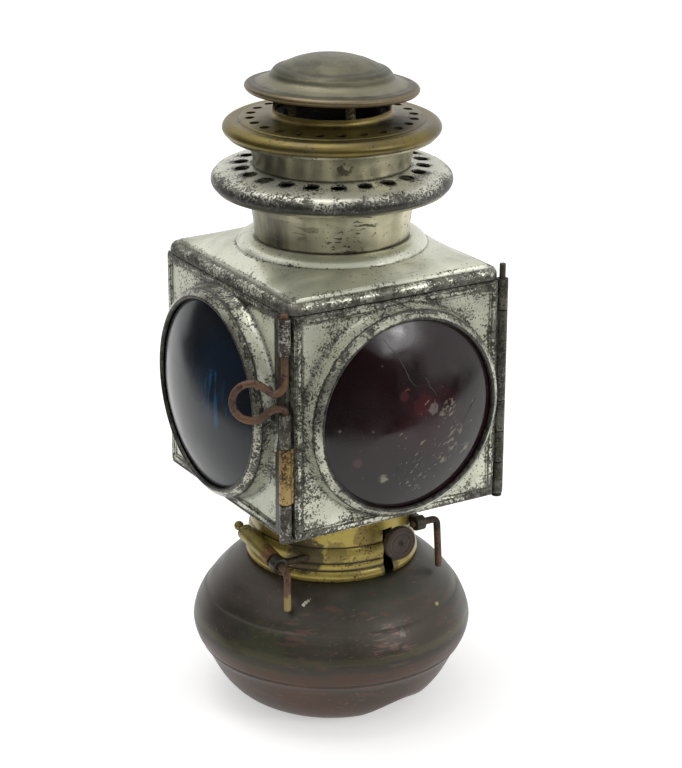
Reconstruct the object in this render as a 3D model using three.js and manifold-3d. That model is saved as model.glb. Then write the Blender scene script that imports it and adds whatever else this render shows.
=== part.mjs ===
// Square bullseye lantern: a sheet-metal lamp body with three bullseye lenses and a vented
// chimney, standing on a round oil fount with a flat-wick burner.
// Millimetres, +Z up. The origin is the centre of the fount's base; the door faces -Y.
import * as THREE from 'three';
import { mergeVertices } from 'three/addons/utils/BufferGeometryUtils.js';
import Module from 'manifold-3d';

const wasm = await Module();
wasm.setup();

// Sizes that several pieces share
const sheet = 0.8;        // thickness of the lamp's sheet brass
const gap = 0.3;          // air left between neighbouring pieces
const overrun = 2;        // how far a cutter runs past the face it cuts
const weldTolerance = 1e-4;

// Round pieces are faceted by their size
const facets = { large: 28, lens: 24, medium: 20, small: 12, rod: 8, hole: 8, corner: 4 };

// Oil fount
const fount = {
  radius: 55.8, seamRadius: 50.6, footRadius: 31.5, seatRadius: 35.4, neckRadius: 13.6,
  seamHeight: 20.2, height: 59.5, crownHeight: 1.4, wall: 1,
};
const fountNeck = { wall: 2.9, height: 6 };

// Collar between fount and lamp body, with its rolled beads and the slot for the wick shaft
const collar = { radius: 33.2, height: 29.5, wall: 0.9, slotWidth: 4.6, wallShare: 0.976 };

// Lamp body
const body = { halfWidth: 45.4, front: 44, back: 48.5, panelHeight: 87.6, jamb: 7.4 };
const door = { inset: 1.2, depth: 3.6 };
const floor = { holeRadius: 24, lip: 4.2 };
const border = { width: 3.4, height: 0.7, margin: 0.5 };

// Lens stack, measured outward from a panel's face; the glass fills most of the smallest face
const lens = {
  share: 0.8813, lift: 0.6, land: 2.2, edge: 3.6, back: 4, bulgeShare: 0.207,
  coveMargin: 3.3, coveHeight: 6.4, bezelMargin: 1.7, bezelWall: 1.4, bezelHeight: 2.8,
  retainerWidth: 2.3, retainerHeight: 1.3,
};

// Roof pan: a stepped square rim that runs up into a round pressed throat
const roof = {
  overhang: 0.6, cornerRadius: 5, edgeWidth: 3.9, edgeHeight: 5.2, flange: 2.4,
  collarRadius: 36.2, collarHeight: 9.9, throatRadius: 28.4, throatHeight: 12.9,
};

// Chimney
const neck = { radius: 29.4, height: 18.9 };
const lowerPlate = { radius: 45.9, height: 8.4, bore: 28.6, holes: 22, holeCircle: 34.4, holeRadius: 2.7 };
const drum = { radius: 29.8, height: 11.8 };
const upperPlate = { radius: 41.4, height: 6.7, holes: 24, holeCircle: 30.8, holeRadius: 1.8 };
const vent = { radius: 22.3, height: 2.9 };
const flue = { radius: 19, skirtRadius: 27.6, skirtHeight: 9.5, skirtDrop: 8.4, rise: 0.6 };
const post = { count: 6, width: 3.7, height: 11.4 };
const cap = { radius: 32.9, height: 14.1, seatShare: 0.397 };
const lowerHoleTurn = -27;   // degrees from the front, towards +X
const upperHoleTurn = -39.4;
const postTurn = -13;

// Corner barrels: the hinge on the right and the catch on the left
const corner = {
  standoff: 1.8, lead: 2, barrelRadius: 2.3, leafWidth: 6.7, leafSetback: 2.8, leaf: 0.7, doorLeaf: 0.5,
};
const hinge = { pinRadius: 1.2, headRadius: 2, headHeight: 0.9, stickUp: 5.4 };
const bodyBarrelShares = [[0.003, 0.148], [0.298, 0.438], [0.858, 0.995]];   // of the panel height
const doorBarrelShares = [[0.152, 0.294], [0.442, 0.854]];
const catchBarrelShares = [[0.003, 0.175], [0.429, 0.581], [0.836, 0.995]];
const catchHookShares = [0.179, 0.425];

// Spring pin of the catch, with its finger loop
const wire = { radius: 1.4 };
const pin = {
  top: 1.3, foot: 9, upperLeg: 58.4, loopReach: 11.8, loopHeight: 55.4, loopRadius: 7.2, turn: 31.2,
};
const pinSteps = 46;
const pinSides = 7;

// Spring catches that hold the fount under the collar
const leftCatch = { standoff: 3.7, height: 12.8, tilt: 8, rear: 7.5, front: 29.3,
  sleeveRadius: 3.2, sleeveRear: 4.5, sleeveFront: 18.5, ball: 1.9,
  bracketNear: 20.2, bracketThick: 4, bracketHeight: 4.4 };
const rightCatch = { chordShare: 0.8675, height: 16.3, start: 19, reach: 31, kick: 2,
  barrelRadius: 2.9, bracketFrom: 20.5, bracketThick: 4, bracketHeight: 4.4 };
const bend = { radius: 2.6, steps: 16, sides: 8 };
const toeClearance = 0.9;   // between a catch's toe and the fount's shoulder

// Burner
const burner = { baseDepth: 9, skirtWall: 1, flangeRadius: 18, flangeHeight: 1.2,
  galleryRadius: 15, galleryHeight: 17.8, galleryWall: 0.8, coneHeight: 25, ventCount: 10, ventRadius: 2.4 };
const wickTube = { width: 18, thickness: 3.6, wall: 0.6, top: 46.5, foot: 2.5 };
const wick = { width: 16, thickness: 1.8, top: 49, foot: 10 };
const wickDrive = { height: 16, wheelRadius: 5, wheelWidth: 6, teeth: 12, toothDepth: 1.2,
  shaftRadius: 1.1, shaftInner: 4, knobFace: 42, knobRadius: 6.8, knobThick: 3.1 };

// Back fittings
const reflector = { share: 0.829, depth: 9, boss: 5, wall: 0.6 };
const mountPlate = { width: 62, height: 30, thickness: 3, corner: 4 };
const stud = { radius: 3, spacingShare: 0.71, length: 12, headRadius: 4.6, headHeight: 2 };

// Levels, from the fount up
const seatZ = fount.height;
const floorZ = seatZ + collar.height;
const panelZ = floorZ + sheet;
const roofZ = panelZ + body.panelHeight;
const throatZ = roofZ + roof.throatHeight;
const lowerPlateZ = throatZ + neck.height;
const drumZ = lowerPlateZ + lowerPlate.height;
const upperPlateZ = drumZ + drum.height;
const ventZ = upperPlateZ + upperPlate.height;
const postZ = ventZ + vent.height;
const capSeatZ = postZ + post.height;
const capZ = capSeatZ - cap.height * cap.seatShare;
const neckTopZ = seatZ + fount.crownHeight + fountNeck.height;
const doorFace = body.front + door.depth;
const lensShift = (body.back - body.front) / 2;   // side lenses sit at the middle of their panels
const doorHalf = body.halfWidth - door.inset;
const cornerX = body.halfWidth + corner.standoff;
const cornerY = -body.front - corner.lead;

// Radii of the lens stack
const faceReach = Math.min(body.halfWidth, (body.front + body.back) / 2, body.panelHeight / 2);
const glassRadius = lens.share * faceReach;
const sightRadius = glassRadius - lens.land;
const coveRadius = glassRadius + lens.coveMargin;
const bezelRadius = glassRadius + lens.bezelMargin;
const lensHeight = body.panelHeight / 2 + lens.lift;
const reflectorRadius = reflector.share * glassRadius;
const studX = mountPlate.width * stud.spacingShare / 2;

const degrees = THREE.MathUtils.degToRad;
const quarter = Math.PI / 2;

// Finishes of the photographed lamp
const finishes = {
  nickel: { color: 0xb9b9a4, roughness: 0.35, metalness: 0.9 },
  dullNickel: { color: 0x8f8f79, roughness: 0.5, metalness: 0.85 },
  brass: { color: 0xa08a3c, roughness: 0.4, metalness: 0.9 },
  agedBrass: { color: 0x8a7434, roughness: 0.5, metalness: 0.85 },
  copper: { color: 0x5a3f36, roughness: 0.6, metalness: 0.7 },
  darkSteel: { color: 0x45433e, roughness: 0.5, metalness: 0.8 },
  rust: { color: 0x6a4632, roughness: 0.7, metalness: 0.5 },
  redGlass: { color: 0x2c0a10, roughness: 0.08, metalness: 0 },
  blueGlass: { color: 0x0a1730, roughness: 0.08, metalness: 0 },
  clearGlass: { color: 0xb8c4bc, roughness: 0.08, metalness: 0 },
  soot: { color: 0x26241f, roughness: 0.85, metalness: 0.4 },
  silver: { color: 0xd2d2c8, roughness: 0.15, metalness: 1 },
  cotton: { color: 0xbfb59a, roughness: 0.95, metalness: 0 },
};

const lamp = new THREE.Group();

function piece(name, geometry, finish, parent = lamp) {
  const mesh = new THREE.Mesh(geometry, new THREE.MeshStandardMaterial(finishes[finish]));
  mesh.name = name;
  parent.add(mesh);
  return mesh;
}

// Drops empty triangles and turns the faces outward
function clean(geometry) {
  geometry.deleteAttribute('normal');
  geometry.deleteAttribute('uv');
  const welded = mergeVertices(geometry, weldTolerance);
  const p = welded.attributes.position;
  const index = welded.index.array;
  const kept = [];
  const [a, b, c] = [new THREE.Vector3(), new THREE.Vector3(), new THREE.Vector3()];
  let volume = 0;
  for (let i = 0; i < index.length; i += 3) {
    const [u, v, w] = [index[i], index[i + 1], index[i + 2]];
    if (u === v || v === w || w === u) continue;
    kept.push(u, v, w);
    volume += a.fromBufferAttribute(p, u).dot(b.fromBufferAttribute(p, v).cross(c.fromBufferAttribute(p, w)));
  }
  if (volume < 0) kept.reverse();
  const result = new THREE.BufferGeometry();
  result.setAttribute('position', p);
  result.setIndex(kept);
  result.computeVertexNormals();
  return result;
}

function toSolid(geometry) {
  const g = clean(geometry.clone());
  return new wasm.Manifold(new wasm.Mesh({
    numProp: 3,
    vertProperties: new Float32Array(g.attributes.position.array),
    triVerts: new Uint32Array(g.index.array),
  }));
}

function fromSolid(solid) {
  const mesh = solid.getMesh();
  const geometry = new THREE.BufferGeometry();
  geometry.setAttribute('position', new THREE.BufferAttribute(new Float32Array(mesh.vertProperties), 3));
  geometry.setIndex(new THREE.BufferAttribute(new Uint32Array(mesh.triVerts), 1));
  return clean(geometry);
}

const join = (...parts) => fromSolid(parts.map(toSolid).reduce((sum, next) => sum.add(next)));
const cut = (base, ...tools) => (
  fromSolid(tools.map(toSolid).reduce((rest, tool) => rest.subtract(tool), toSolid(base))));

const at = (geometry, x, y, z) => geometry.translate(x, y, z);

// A solid of revolution about Z from [radius, height] points
function lathe(points, segments) {
  const outline = points.map(([r, z]) => new THREE.Vector2(r, z));
  if (points[0][0] > 0) outline.push(outline[0].clone());
  return clean(new THREE.LatheGeometry(outline, segments).rotateX(quarter));
}

// The closed outline of a sheet: its outer face follows the points, its wall lies to the left of the way
function shell(points, wall) {
  const normals = points.slice(1).map(([r, z], i) => {
    const along = new THREE.Vector2(r - points[i][0], z - points[i][1]).normalize();
    return new THREE.Vector2(-along.y, along.x);
  });
  const inner = points.map(([r, z], i) => {
    const before = normals[Math.max(i - 1, 0)];
    const after = normals[Math.min(i, normals.length - 1)];
    const way = before.clone().add(after).normalize();
    const reach = wall / way.dot(after);
    return [points[i][0] === 0 ? 0 : r + way.x * reach, z + way.y * reach, points[i][2]];
  });
  return [...points, ...inner.reverse()];
}

const scaled = (shares, radius, height, base = 0) => shares.map(([r, z]) => [r * radius, base + z * height]);
const cylinder = (radius, length, segments) => (
  new THREE.CylinderGeometry(radius, radius, length, segments).rotateX(quarter));

function block(x0, x1, y0, y1, z0, z1) {
  return at(new THREE.BoxGeometry(x1 - x0, y1 - y0, z1 - z0), (x0 + x1) / 2, (y0 + y1) / 2, (z0 + z1) / 2);
}

function ring(outer, inner, z0, z1, segments) {
  return lathe([[inner, z0], [outer, z0], [outer, z1], [inner, z1]], segments);
}

function rectangle(left, right, bottom, top) {
  return new THREE.Shape([
    new THREE.Vector2(left, bottom), new THREE.Vector2(right, bottom),
    new THREE.Vector2(right, top), new THREE.Vector2(left, top),
  ]);
}

function extrude(shape, z0, z1) {
  const settings = { depth: z1 - z0, bevelEnabled: false, curveSegments: facets.corner };
  return clean(at(new THREE.ExtrudeGeometry(shape, settings), 0, 0, z0));
}

function frameOf(left, right, bottom, top, width, z0, z1) {
  const shape = rectangle(left, right, bottom, top);
  shape.holes.push(rectangle(left + width, right - width, bottom + width, top - width));
  return extrude(shape, z0, z1);
}

// A round wire along straight runs whose corners are rounded
function bentWire(corners, radius) {
  const route = new THREE.CurvePath();
  let from = corners[0];
  for (let i = 1; i < corners.length - 1; i++) {
    const back = corners[i - 1].clone().sub(corners[i]).setLength(bend.radius).add(corners[i]);
    const ahead = corners[i + 1].clone().sub(corners[i]).setLength(bend.radius).add(corners[i]);
    route.add(new THREE.LineCurve3(from, back));
    route.add(new THREE.QuadraticBezierCurve3(back, corners[i], ahead));
    from = ahead;
  }
  route.add(new THREE.LineCurve3(from, corners[corners.length - 1]));
  return wireAlong(route, radius, bend.steps, bend.sides);
}

function wireAlong(route, radius, steps, sides) {
  const section = new THREE.Shape(Array.from({ length: sides }, (_, i) => {
    const angle = (2 * Math.PI * i) / sides;
    return new THREE.Vector2(radius * Math.cos(angle), radius * Math.sin(angle));
  }));
  return clean(new THREE.ExtrudeGeometry(section, { steps, extrudePath: route }));
}

// Turns a geometry modelled along Z to run along a direction through a point
function aim(geometry, point, direction) {
  geometry.applyQuaternion(new THREE.Quaternion().setFromUnitVectors(new THREE.Vector3(0, 0, 1), direction));
  return at(geometry, point.x, point.y, point.z);
}

const shoulderShares = [[0.943, 0.064], [0.982, 0.173], [1, 0.313], [0.978, 0.44], [0.932, 0.585], [0.86, 0.733],
  [0.771, 0.868], [0.681, 0.957]];
const shoulder = scaled(shoulderShares, fount.radius, fount.height - fount.seamHeight, fount.seamHeight);

// Height of the fount's shoulder at a distance from the axis
function shoulderHeight(distance) {
  const outline = [[fount.seatRadius, fount.height], ...shoulder.slice().reverse()];
  const next = outline.findIndex(([r]) => r > distance);
  const [[r0, z0], [r1, z1]] = [outline[next - 1], outline[next]];
  return z0 + ((z1 - z0) * (distance - r0)) / (r1 - r0);
}

// Fount: a lower bowl and an upper shell that meet at a flanged seam
function makeFount() {
  const flange = 0.96;   // share of the seam radius where the flange turns out
  const bowlShares = [[0.721, 0.094], [0.82, 0.286], [0.899, 0.547], [0.949, 0.844]];
  const flangeZ = fount.seamHeight - fount.wall;
  piece('fount_bowl', lathe(shell([
    [0, 0], [fount.footRadius, 0],
    ...scaled(bowlShares, fount.seamRadius, flangeZ),
    [fount.seamRadius * flange, flangeZ], [fount.seamRadius, flangeZ],
  ], fount.wall), facets.large), 'copper');

  piece('fount_top', lathe(shell([
    [fount.seamRadius * flange, fount.seamHeight], [fount.seamRadius, fount.seamHeight],
    ...shoulder, [fount.seatRadius, fount.height], [(fount.seatRadius + fount.neckRadius) / 2, fount.height],
    [fount.neckRadius + fountNeck.wall, fount.height + fount.crownHeight],
    [fount.neckRadius, fount.height + fount.crownHeight],
  ], fount.wall), facets.large), 'copper');

  piece('fount_neck', ring(fount.neckRadius + fountNeck.wall, fount.neckRadius,
    seatZ + fount.crownHeight, neckTopZ, facets.medium), 'agedBrass');
}

// Burner: base, gallery and cone round a flat wick tube, with the wick and its drive
function makeBurner() {
  const skirtRadius = fount.neckRadius - gap;
  const base = lathe([
    [0, neckTopZ - burner.flangeHeight], [skirtRadius - burner.skirtWall, neckTopZ - burner.flangeHeight],
    [skirtRadius - burner.skirtWall, neckTopZ - burner.baseDepth], [skirtRadius, neckTopZ - burner.baseDepth],
    [skirtRadius, neckTopZ], [burner.flangeRadius, neckTopZ],
    [burner.flangeRadius, neckTopZ + burner.flangeHeight], [0, neckTopZ + burner.flangeHeight],
  ], facets.medium);
  const slotX = wickTube.thickness / 2 + gap;
  const slotY = wickTube.width / 2 + gap;
  const throughBase = block(-slotX, slotX, -slotY, slotY,
    neckTopZ - burner.baseDepth, neckTopZ + burner.baseDepth);
  piece('burner_base', cut(base, throughBase), 'brass');

  const shaftX = wick.thickness / 2 + gap + wickDrive.wheelRadius;
  const shaftZ = seatZ + wickDrive.height;
  const galleryZ = neckTopZ + burner.flangeHeight;
  const galleryTop = galleryZ + burner.galleryHeight;
  const tubeTop = seatZ + wickTube.top;
  const halfX = wickTube.thickness / 2;
  const halfY = wickTube.width / 2;
  const outerTube = block(-halfX, halfX, -halfY, halfY, seatZ + wickTube.foot, tubeTop);
  const [boreX, boreY] = [halfX - wickTube.wall, halfY - wickTube.wall];
  const innerTube = block(-boreX, boreX, -boreY, boreY, seatZ + wickTube.foot - overrun, tubeTop + overrun);
  const windowY = wickDrive.wheelWidth / 2 + gap;
  const windowZ = wickDrive.wheelRadius + gap;
  const window = block(0, halfX + overrun, -windowY, windowY, shaftZ - windowZ, shaftZ + windowZ);
  piece('wick_tube', cut(outerTube, innerTube, window), 'agedBrass');
  piece('wick', block(-wick.thickness / 2, wick.thickness / 2, -wick.width / 2, wick.width / 2,
    wick.foot, seatZ + wick.top), 'cotton');

  const gallery = ring(burner.galleryRadius, burner.galleryRadius - burner.galleryWall,
    galleryZ, galleryTop, facets.medium);
  const vents = Array.from({ length: burner.ventCount }, (_, i) => {
    const hole = at(cylinder(burner.ventRadius, burner.galleryRadius, facets.hole).rotateY(quarter),
      burner.galleryRadius, 0, galleryTop - 2 * burner.ventRadius);
    return hole.rotateZ((2 * Math.PI * (i + 0.5)) / burner.ventCount);
  });
  const shaftHole = at(cylinder(wickDrive.shaftRadius + gap, burner.galleryRadius, facets.hole).rotateX(quarter),
    shaftX, -burner.galleryRadius, shaftZ);
  piece('burner_gallery', cut(gallery, ...vents, shaftHole), 'brass');

  const coneShares = [[1, 0], [1, 0.08], [0.947, 0.32], [0.84, 0.6], [0.727, 0.82], [0.633, 0.94], [0, 1]];
  const dome = scaled(coneShares, burner.galleryRadius, burner.coneHeight, galleryTop);
  const cone = lathe(shell(dome, burner.galleryWall), facets.medium);
  const flameX = halfX + burner.galleryWall;
  const flameY = wick.width / 2 + burner.galleryWall;
  const coneTop = galleryTop + burner.coneHeight;
  const flameSlot = block(-flameX, flameX, -flameY, flameY, tubeTop - 2 * overrun, coneTop + overrun);
  piece('burner_cone', cut(cone, flameSlot), 'agedBrass');

  const shaftLength = wickDrive.knobFace - wickDrive.knobThick + wickDrive.shaftInner;
  const shaft = cylinder(wickDrive.shaftRadius, shaftLength, facets.hole).rotateX(quarter);
  piece('wick_shaft', at(shaft, shaftX, wickDrive.shaftInner - shaftLength / 2, shaftZ), 'darkSteel');

  const teeth = Array.from({ length: 2 * wickDrive.teeth }, (_, i) => {
    const angle = (Math.PI * i) / wickDrive.teeth;
    const r = wickDrive.wheelRadius - (i % 2) * wickDrive.toothDepth;
    return new THREE.Vector2(r * Math.cos(angle), r * Math.sin(angle));
  });
  const star = new THREE.Shape(teeth);
  star.holes.push(new THREE.Path().absarc(0, 0, wickDrive.shaftRadius + gap / 2, 0, 2 * Math.PI));
  const across = { depth: wickDrive.wheelWidth, bevelEnabled: false, curveSegments: facets.hole };
  const wheel = new THREE.ExtrudeGeometry(star, across);
  piece('star_wheel', at(clean(wheel).rotateX(quarter), shaftX, wickDrive.wheelWidth / 2, shaftZ), 'brass');

  const knobShares = [[0, 0], [0.93, 0], [1, 0.2], [1, 0.8], [0.9, 1], [0.3, 0.93], [0.14, 0.8], [0, 0.8]];
  const knob = lathe(scaled(knobShares, wickDrive.knobRadius, wickDrive.knobThick), facets.medium);
  const knobY = wickDrive.knobThick - wickDrive.knobFace;
  piece('wick_knob', at(knob.rotateX(quarter), shaftX, knobY, shaftZ), 'rust');
  return { shaftX, shaftZ };
}

// Collar: beaded brass ring, slotted from below so that the lamp lifts off over the wick shaft
function makeCollar({ shaftX, shaftZ }) {
  const collarShares = [[1.012, 0], [1.033, 0.064], [1.012, 0.132], [0.991, 0.149], [1.003, 0.227], [0.985, 0.251],
    [1, 0.342], [0.985, 0.444], [0.97, 0.464], [collar.wallShare, 0.627], [collar.wallShare, 1]];
  const tube = lathe(shell(scaled(collarShares, collar.radius, collar.height, seatZ), collar.wall), facets.large);
  const halfSlot = collar.slotWidth / 2;
  const slot = block(shaftX - halfSlot, shaftX + halfSlot, -collar.radius - overrun, 0,
    seatZ - overrun, shaftZ + halfSlot + gap);
  piece('fount_collar', cut(tube, slot), 'brass');
}

// Floor pan: a plate that the panels stand on, with a lip inside them
function makeFloor() {
  const plate = extrude(rectangle(-body.halfWidth, body.halfWidth, -body.front, body.back), floorZ, panelZ);
  const inside = body.halfWidth - sheet - gap;
  const lip = frameOf(-inside, inside, -body.front + sheet + gap, body.back - sheet - gap,
    sheet, floorZ, panelZ + floor.lip);
  const rim = ring(floor.holeRadius + sheet, floor.holeRadius, floorZ, panelZ + floor.lip / 2, facets.medium);
  const hole = at(cylinder(floor.holeRadius, floor.lip * 2 + sheet, facets.medium), 0, 0, panelZ);
  piece('floor_pan', cut(join(plate, lip, rim), hole), 'dullNickel');
}

// A pressed panel in its own frame: x to the right and y up as seen from outside, z outward, its foot at 0
function pressedPanel(left, right, foot, top, lensX) {
  const plate = extrude(rectangle(left, right, foot, top), -sheet, 0);
  const m = border.margin;
  const bead = frameOf(left + m, right - m, foot + m, top - m, border.width, -sheet, border.height);
  if (lensX === null) return join(plate, bead);
  const covePoints = [[coveRadius + sheet, 0], [coveRadius, 0],
    [(coveRadius + bezelRadius) / 2, lens.coveHeight * 0.16], [bezelRadius + gap, lens.coveHeight * 0.5], [bezelRadius, lens.coveHeight]];
  const cove = at(lathe(shell(covePoints, sheet), facets.lens), lensX, lensHeight, 0);
  const hole = at(cylinder(coveRadius, overrun * 2, facets.lens), lensX, lensHeight, 0);
  return join(cut(join(plate, bead), hole), cove);
}

// The glass, its outer bezel and the ring that retains it from inside
function addLens(side, name, lensX, parent) {
  const front = lens.back + lens.edge;
  const bulgeShares = [[1, 0], [0.84, 0.3], [0.6, 0.646], [0.32, 0.9], [0, 1]];
  const glass = [[0, lens.back], [glassRadius, lens.back], [glassRadius, front],
    ...scaled(bulgeShares, sightRadius - gap, lens.bulgeShare * glassRadius, front)];
  const base = lens.coveHeight;
  const lip = front + gap;
  const crown = base + lens.bezelHeight;
  const inner = bezelRadius - lens.bezelWall;
  const bezel = [[inner, base], [bezelRadius, base], [bezelRadius, (base + crown) / 2],
    [inner, crown], [(inner + sightRadius) / 2, crown], [sightRadius, (lip + crown) / 2],
    [sightRadius, lip], [inner, lip]];
  const retainerTop = lens.back - gap;
  const retainerRadius = glassRadius + gap;
  const retainer = ring(retainerRadius, retainerRadius - lens.retainerWidth, retainerTop - lens.retainerHeight,
    retainerTop, facets.medium);
  const set = [[`lens_${name}`, lathe(glass, facets.lens), `${name}Glass`],
    [`bezel_${name}`, lathe(bezel, facets.lens), 'dullNickel'], [`retainer_${name}`, retainer, 'darkSteel']];
  for (const [label, geometry, finish] of set) {
    piece(label, at(geometry, lensX, lensHeight, 0), finish, side);
  }
  parent.add(side);
}

// A face of the lamp: its group turns the panel's own frame to its place
function faceGroup(turn, distance) {
  const face = new THREE.Group();
  face.rotation.set(quarter, 0, turn, 'ZYX');
  face.position.set(distance * Math.sin(turn), -distance * Math.cos(turn), panelZ);
  return face;
}

function makePanels() {
  const h = body.panelHeight;
  const flangeRight = (x) => block(x - sheet, x, 0, h, -body.jamb, 0);
  for (const [side, name, turn, sign] of [['left', 'blue', -quarter, -1], ['right', 'clear', quarter, 1]]) {
    const face = faceGroup(turn, body.halfWidth);
    const [from, to] = sign < 0 ? [-body.back, body.front] : [-body.front, body.back];
    const flange = sign < 0 ? flangeRight(body.front) : flangeRight(sheet - body.front);
    const leafEdge = cornerY + corner.leafSetback + corner.leafWidth + gap;
    const [seatFrom, seatTo] = sign < 0 ? [-leafEdge, body.front] : [-body.front, leafEdge];
    const leafSeat = block(seatFrom, seatTo, 0, h, 0, overrun);
    const panel = cut(pressedPanel(from, to, 0, h, sign * lensShift), leafSeat);
    piece(`${side}_panel`, join(panel, flange), 'nickel', face);
    addLens(face, name, sign * lensShift, lamp);
  }
  const back = faceGroup(Math.PI, body.back);
  const inside = body.halfWidth - sheet - gap;
  const studHoles = [-1, 1].map((s) => (
    at(cylinder(stud.radius + gap, overrun * 4, facets.rod), s * studX, lensHeight, 0)));
  piece('back_panel', cut(pressedPanel(-inside, inside, 0, h, null), ...studHoles), 'nickel', back);

  const dish = [[0, 0], [reflector.boss, 0], [reflectorRadius * 0.5, reflector.depth * 0.2],
    [reflectorRadius * 0.8, reflector.depth * 0.6], [reflectorRadius, reflector.depth]];
  const bowl = lathe(shell(dish, reflector.wall), facets.medium);
  piece('reflector', at(bowl.rotateX(Math.PI), 0, lensHeight, -sheet), 'silver', back);

  const shape = roundedRectangle(mountPlate.width / 2, mountPlate.height / 2, mountPlate.corner);
  const plate = at(extrude(shape, border.height, border.height + mountPlate.thickness), 0, lensHeight, 0);
  const bossX = mountPlate.width / 2 - mountPlate.corner;
  const bossY = mountPlate.height / 2 - mountPlate.corner;
  const boss = block(-bossX, bossX, lensHeight - bossY, lensHeight + bossY, 0, border.height + sheet);
  piece('mount_plate', cut(join(plate, boss), ...studHoles), 'darkSteel', back);
  for (const [side, sign] of [['left', 1], ['right', -1]]) {
    const top = border.height + mountPlate.thickness + stud.length;
    const head = -sheet - stud.headHeight;
    const bolt = lathe([[0, head], [stud.headRadius, head], [stud.headRadius, -sheet],
      [stud.radius, -sheet], [stud.radius, top], [0, top]], facets.rod);
    piece(`mount_stud_${side}`, at(bolt, sign * studX, lensHeight, 0), 'darkSteel', back);
  }
  lamp.add(back);
}

function roundedRectangle(halfX, halfY, radius) {
  const shape = new THREE.Shape();
  shape.absarc(halfX - radius, halfY - radius, radius, 0, quarter);
  shape.absarc(radius - halfX, halfY - radius, radius, quarter, 2 * quarter);
  shape.absarc(radius - halfX, radius - halfY, radius, 2 * quarter, 3 * quarter);
  shape.absarc(halfX - radius, radius - halfY, radius, 3 * quarter, 4 * quarter);
  return shape;
}

// Door: a pressed tray that closes on the jambs, with a lens like the others
function makeDoor() {
  const face = faceGroup(0, doorFace);
  const top = body.panelHeight - gap;
  const tray = frameOf(-doorHalf, doorHalf, 0, top, sheet, gap - door.depth, 0);
  const panel = join(pressedPanel(-doorHalf, doorHalf, 0, top, 0), tray);
  piece('door_panel', panel, 'nickel', face);
  addLens(face, 'red', 0, lamp);
}

// Roof pan: rings of points lofted from the square rim to the round throat and back along the inside
function makeRoof() {
  const halfWidth = body.halfWidth + roof.overhang;
  const bounds = { left: -halfWidth, right: halfWidth, front: -doorFace, back: body.back + roof.overhang };
  const cornerSteps = 3;
  const sideSteps = 4;
  const corners = [[bounds.right, bounds.back], [bounds.left, bounds.back],
    [bounds.left, bounds.front], [bounds.right, bounds.front]];

  function squareRing(inset, z) {
    const radius = Math.max(roof.cornerRadius - inset, gap);
    const arcs = corners.map(([x, y], k) => {
      const cx = x - Math.sign(x) * (inset + radius);
      const cy = y - Math.sign(y) * (inset + radius);
      return Array.from({ length: cornerSteps + 1 }, (_, i) => {
        const angle = quarter * (k + i / cornerSteps);
        return new THREE.Vector3(cx + radius * Math.cos(angle), cy + radius * Math.sin(angle), z);
      });
    });
    return arcs.flatMap((arc, k) => {
      const end = arc[cornerSteps];
      const next = arcs[(k + 1) % arcs.length][0];
      const between = Array.from({ length: sideSteps - 1 },
        (_, i) => end.clone().lerp(next, (i + 1) / sideSteps));
      return [...arc, ...between];
    });
  }
  const guide = squareRing(0, 0);
  const roundRing = (radius, z) => guide.map((_, i) => {
    const angle = quarter / 2 + (2 * Math.PI * (i - cornerSteps / 2)) / guide.length;
    return new THREE.Vector3(radius * Math.cos(angle), radius * Math.sin(angle), z);
  });

  // Shares of the edge's width and height, and of the way from collar to throat
  const edgeShares = [[0, 0], [0, 0.38], [0.23, 0.71], [0.56, 0.83], [0.79, 0.73], [1, 1]];
  const throatShares = [[0, 0], [0.19, 0.23], [0.39, 0.94], [0.7, 1.17], [0.8, 1], [1, 1]];
  const rise = roof.throatHeight - roof.collarHeight;
  const narrowing = roof.throatRadius - roof.collarRadius;
  const profile = [
    [halfWidth - roof.flange, 0, 'square'],
    ...edgeShares.map(([w, z]) => [halfWidth - w * roof.edgeWidth, z * roof.edgeHeight, 'square']),
    ...throatShares.map(([r, z]) => (
      [roof.collarRadius + r * narrowing, roof.collarHeight + z * rise, 'round'])),
  ];
  const rings = shell(profile, sheet).map(([r, z, kind]) => (
    kind === 'square' ? squareRing(halfWidth - r, roofZ + z) : roundRing(r, roofZ + z)));
  const count = guide.length;
  const index = [];
  rings.forEach((_, k) => {
    const next = (k + 1) % rings.length;
    for (let i = 0; i < count; i++) {
      const j = (i + 1) % count;
      index.push(k * count + i, k * count + j, next * count + i);
      index.push(next * count + i, k * count + j, next * count + j);
    }
  });
  const geometry = new THREE.BufferGeometry().setFromPoints(rings.flat());
  geometry.setIndex(index);
  piece('roof_pan', clean(geometry), 'nickel');
}

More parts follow.
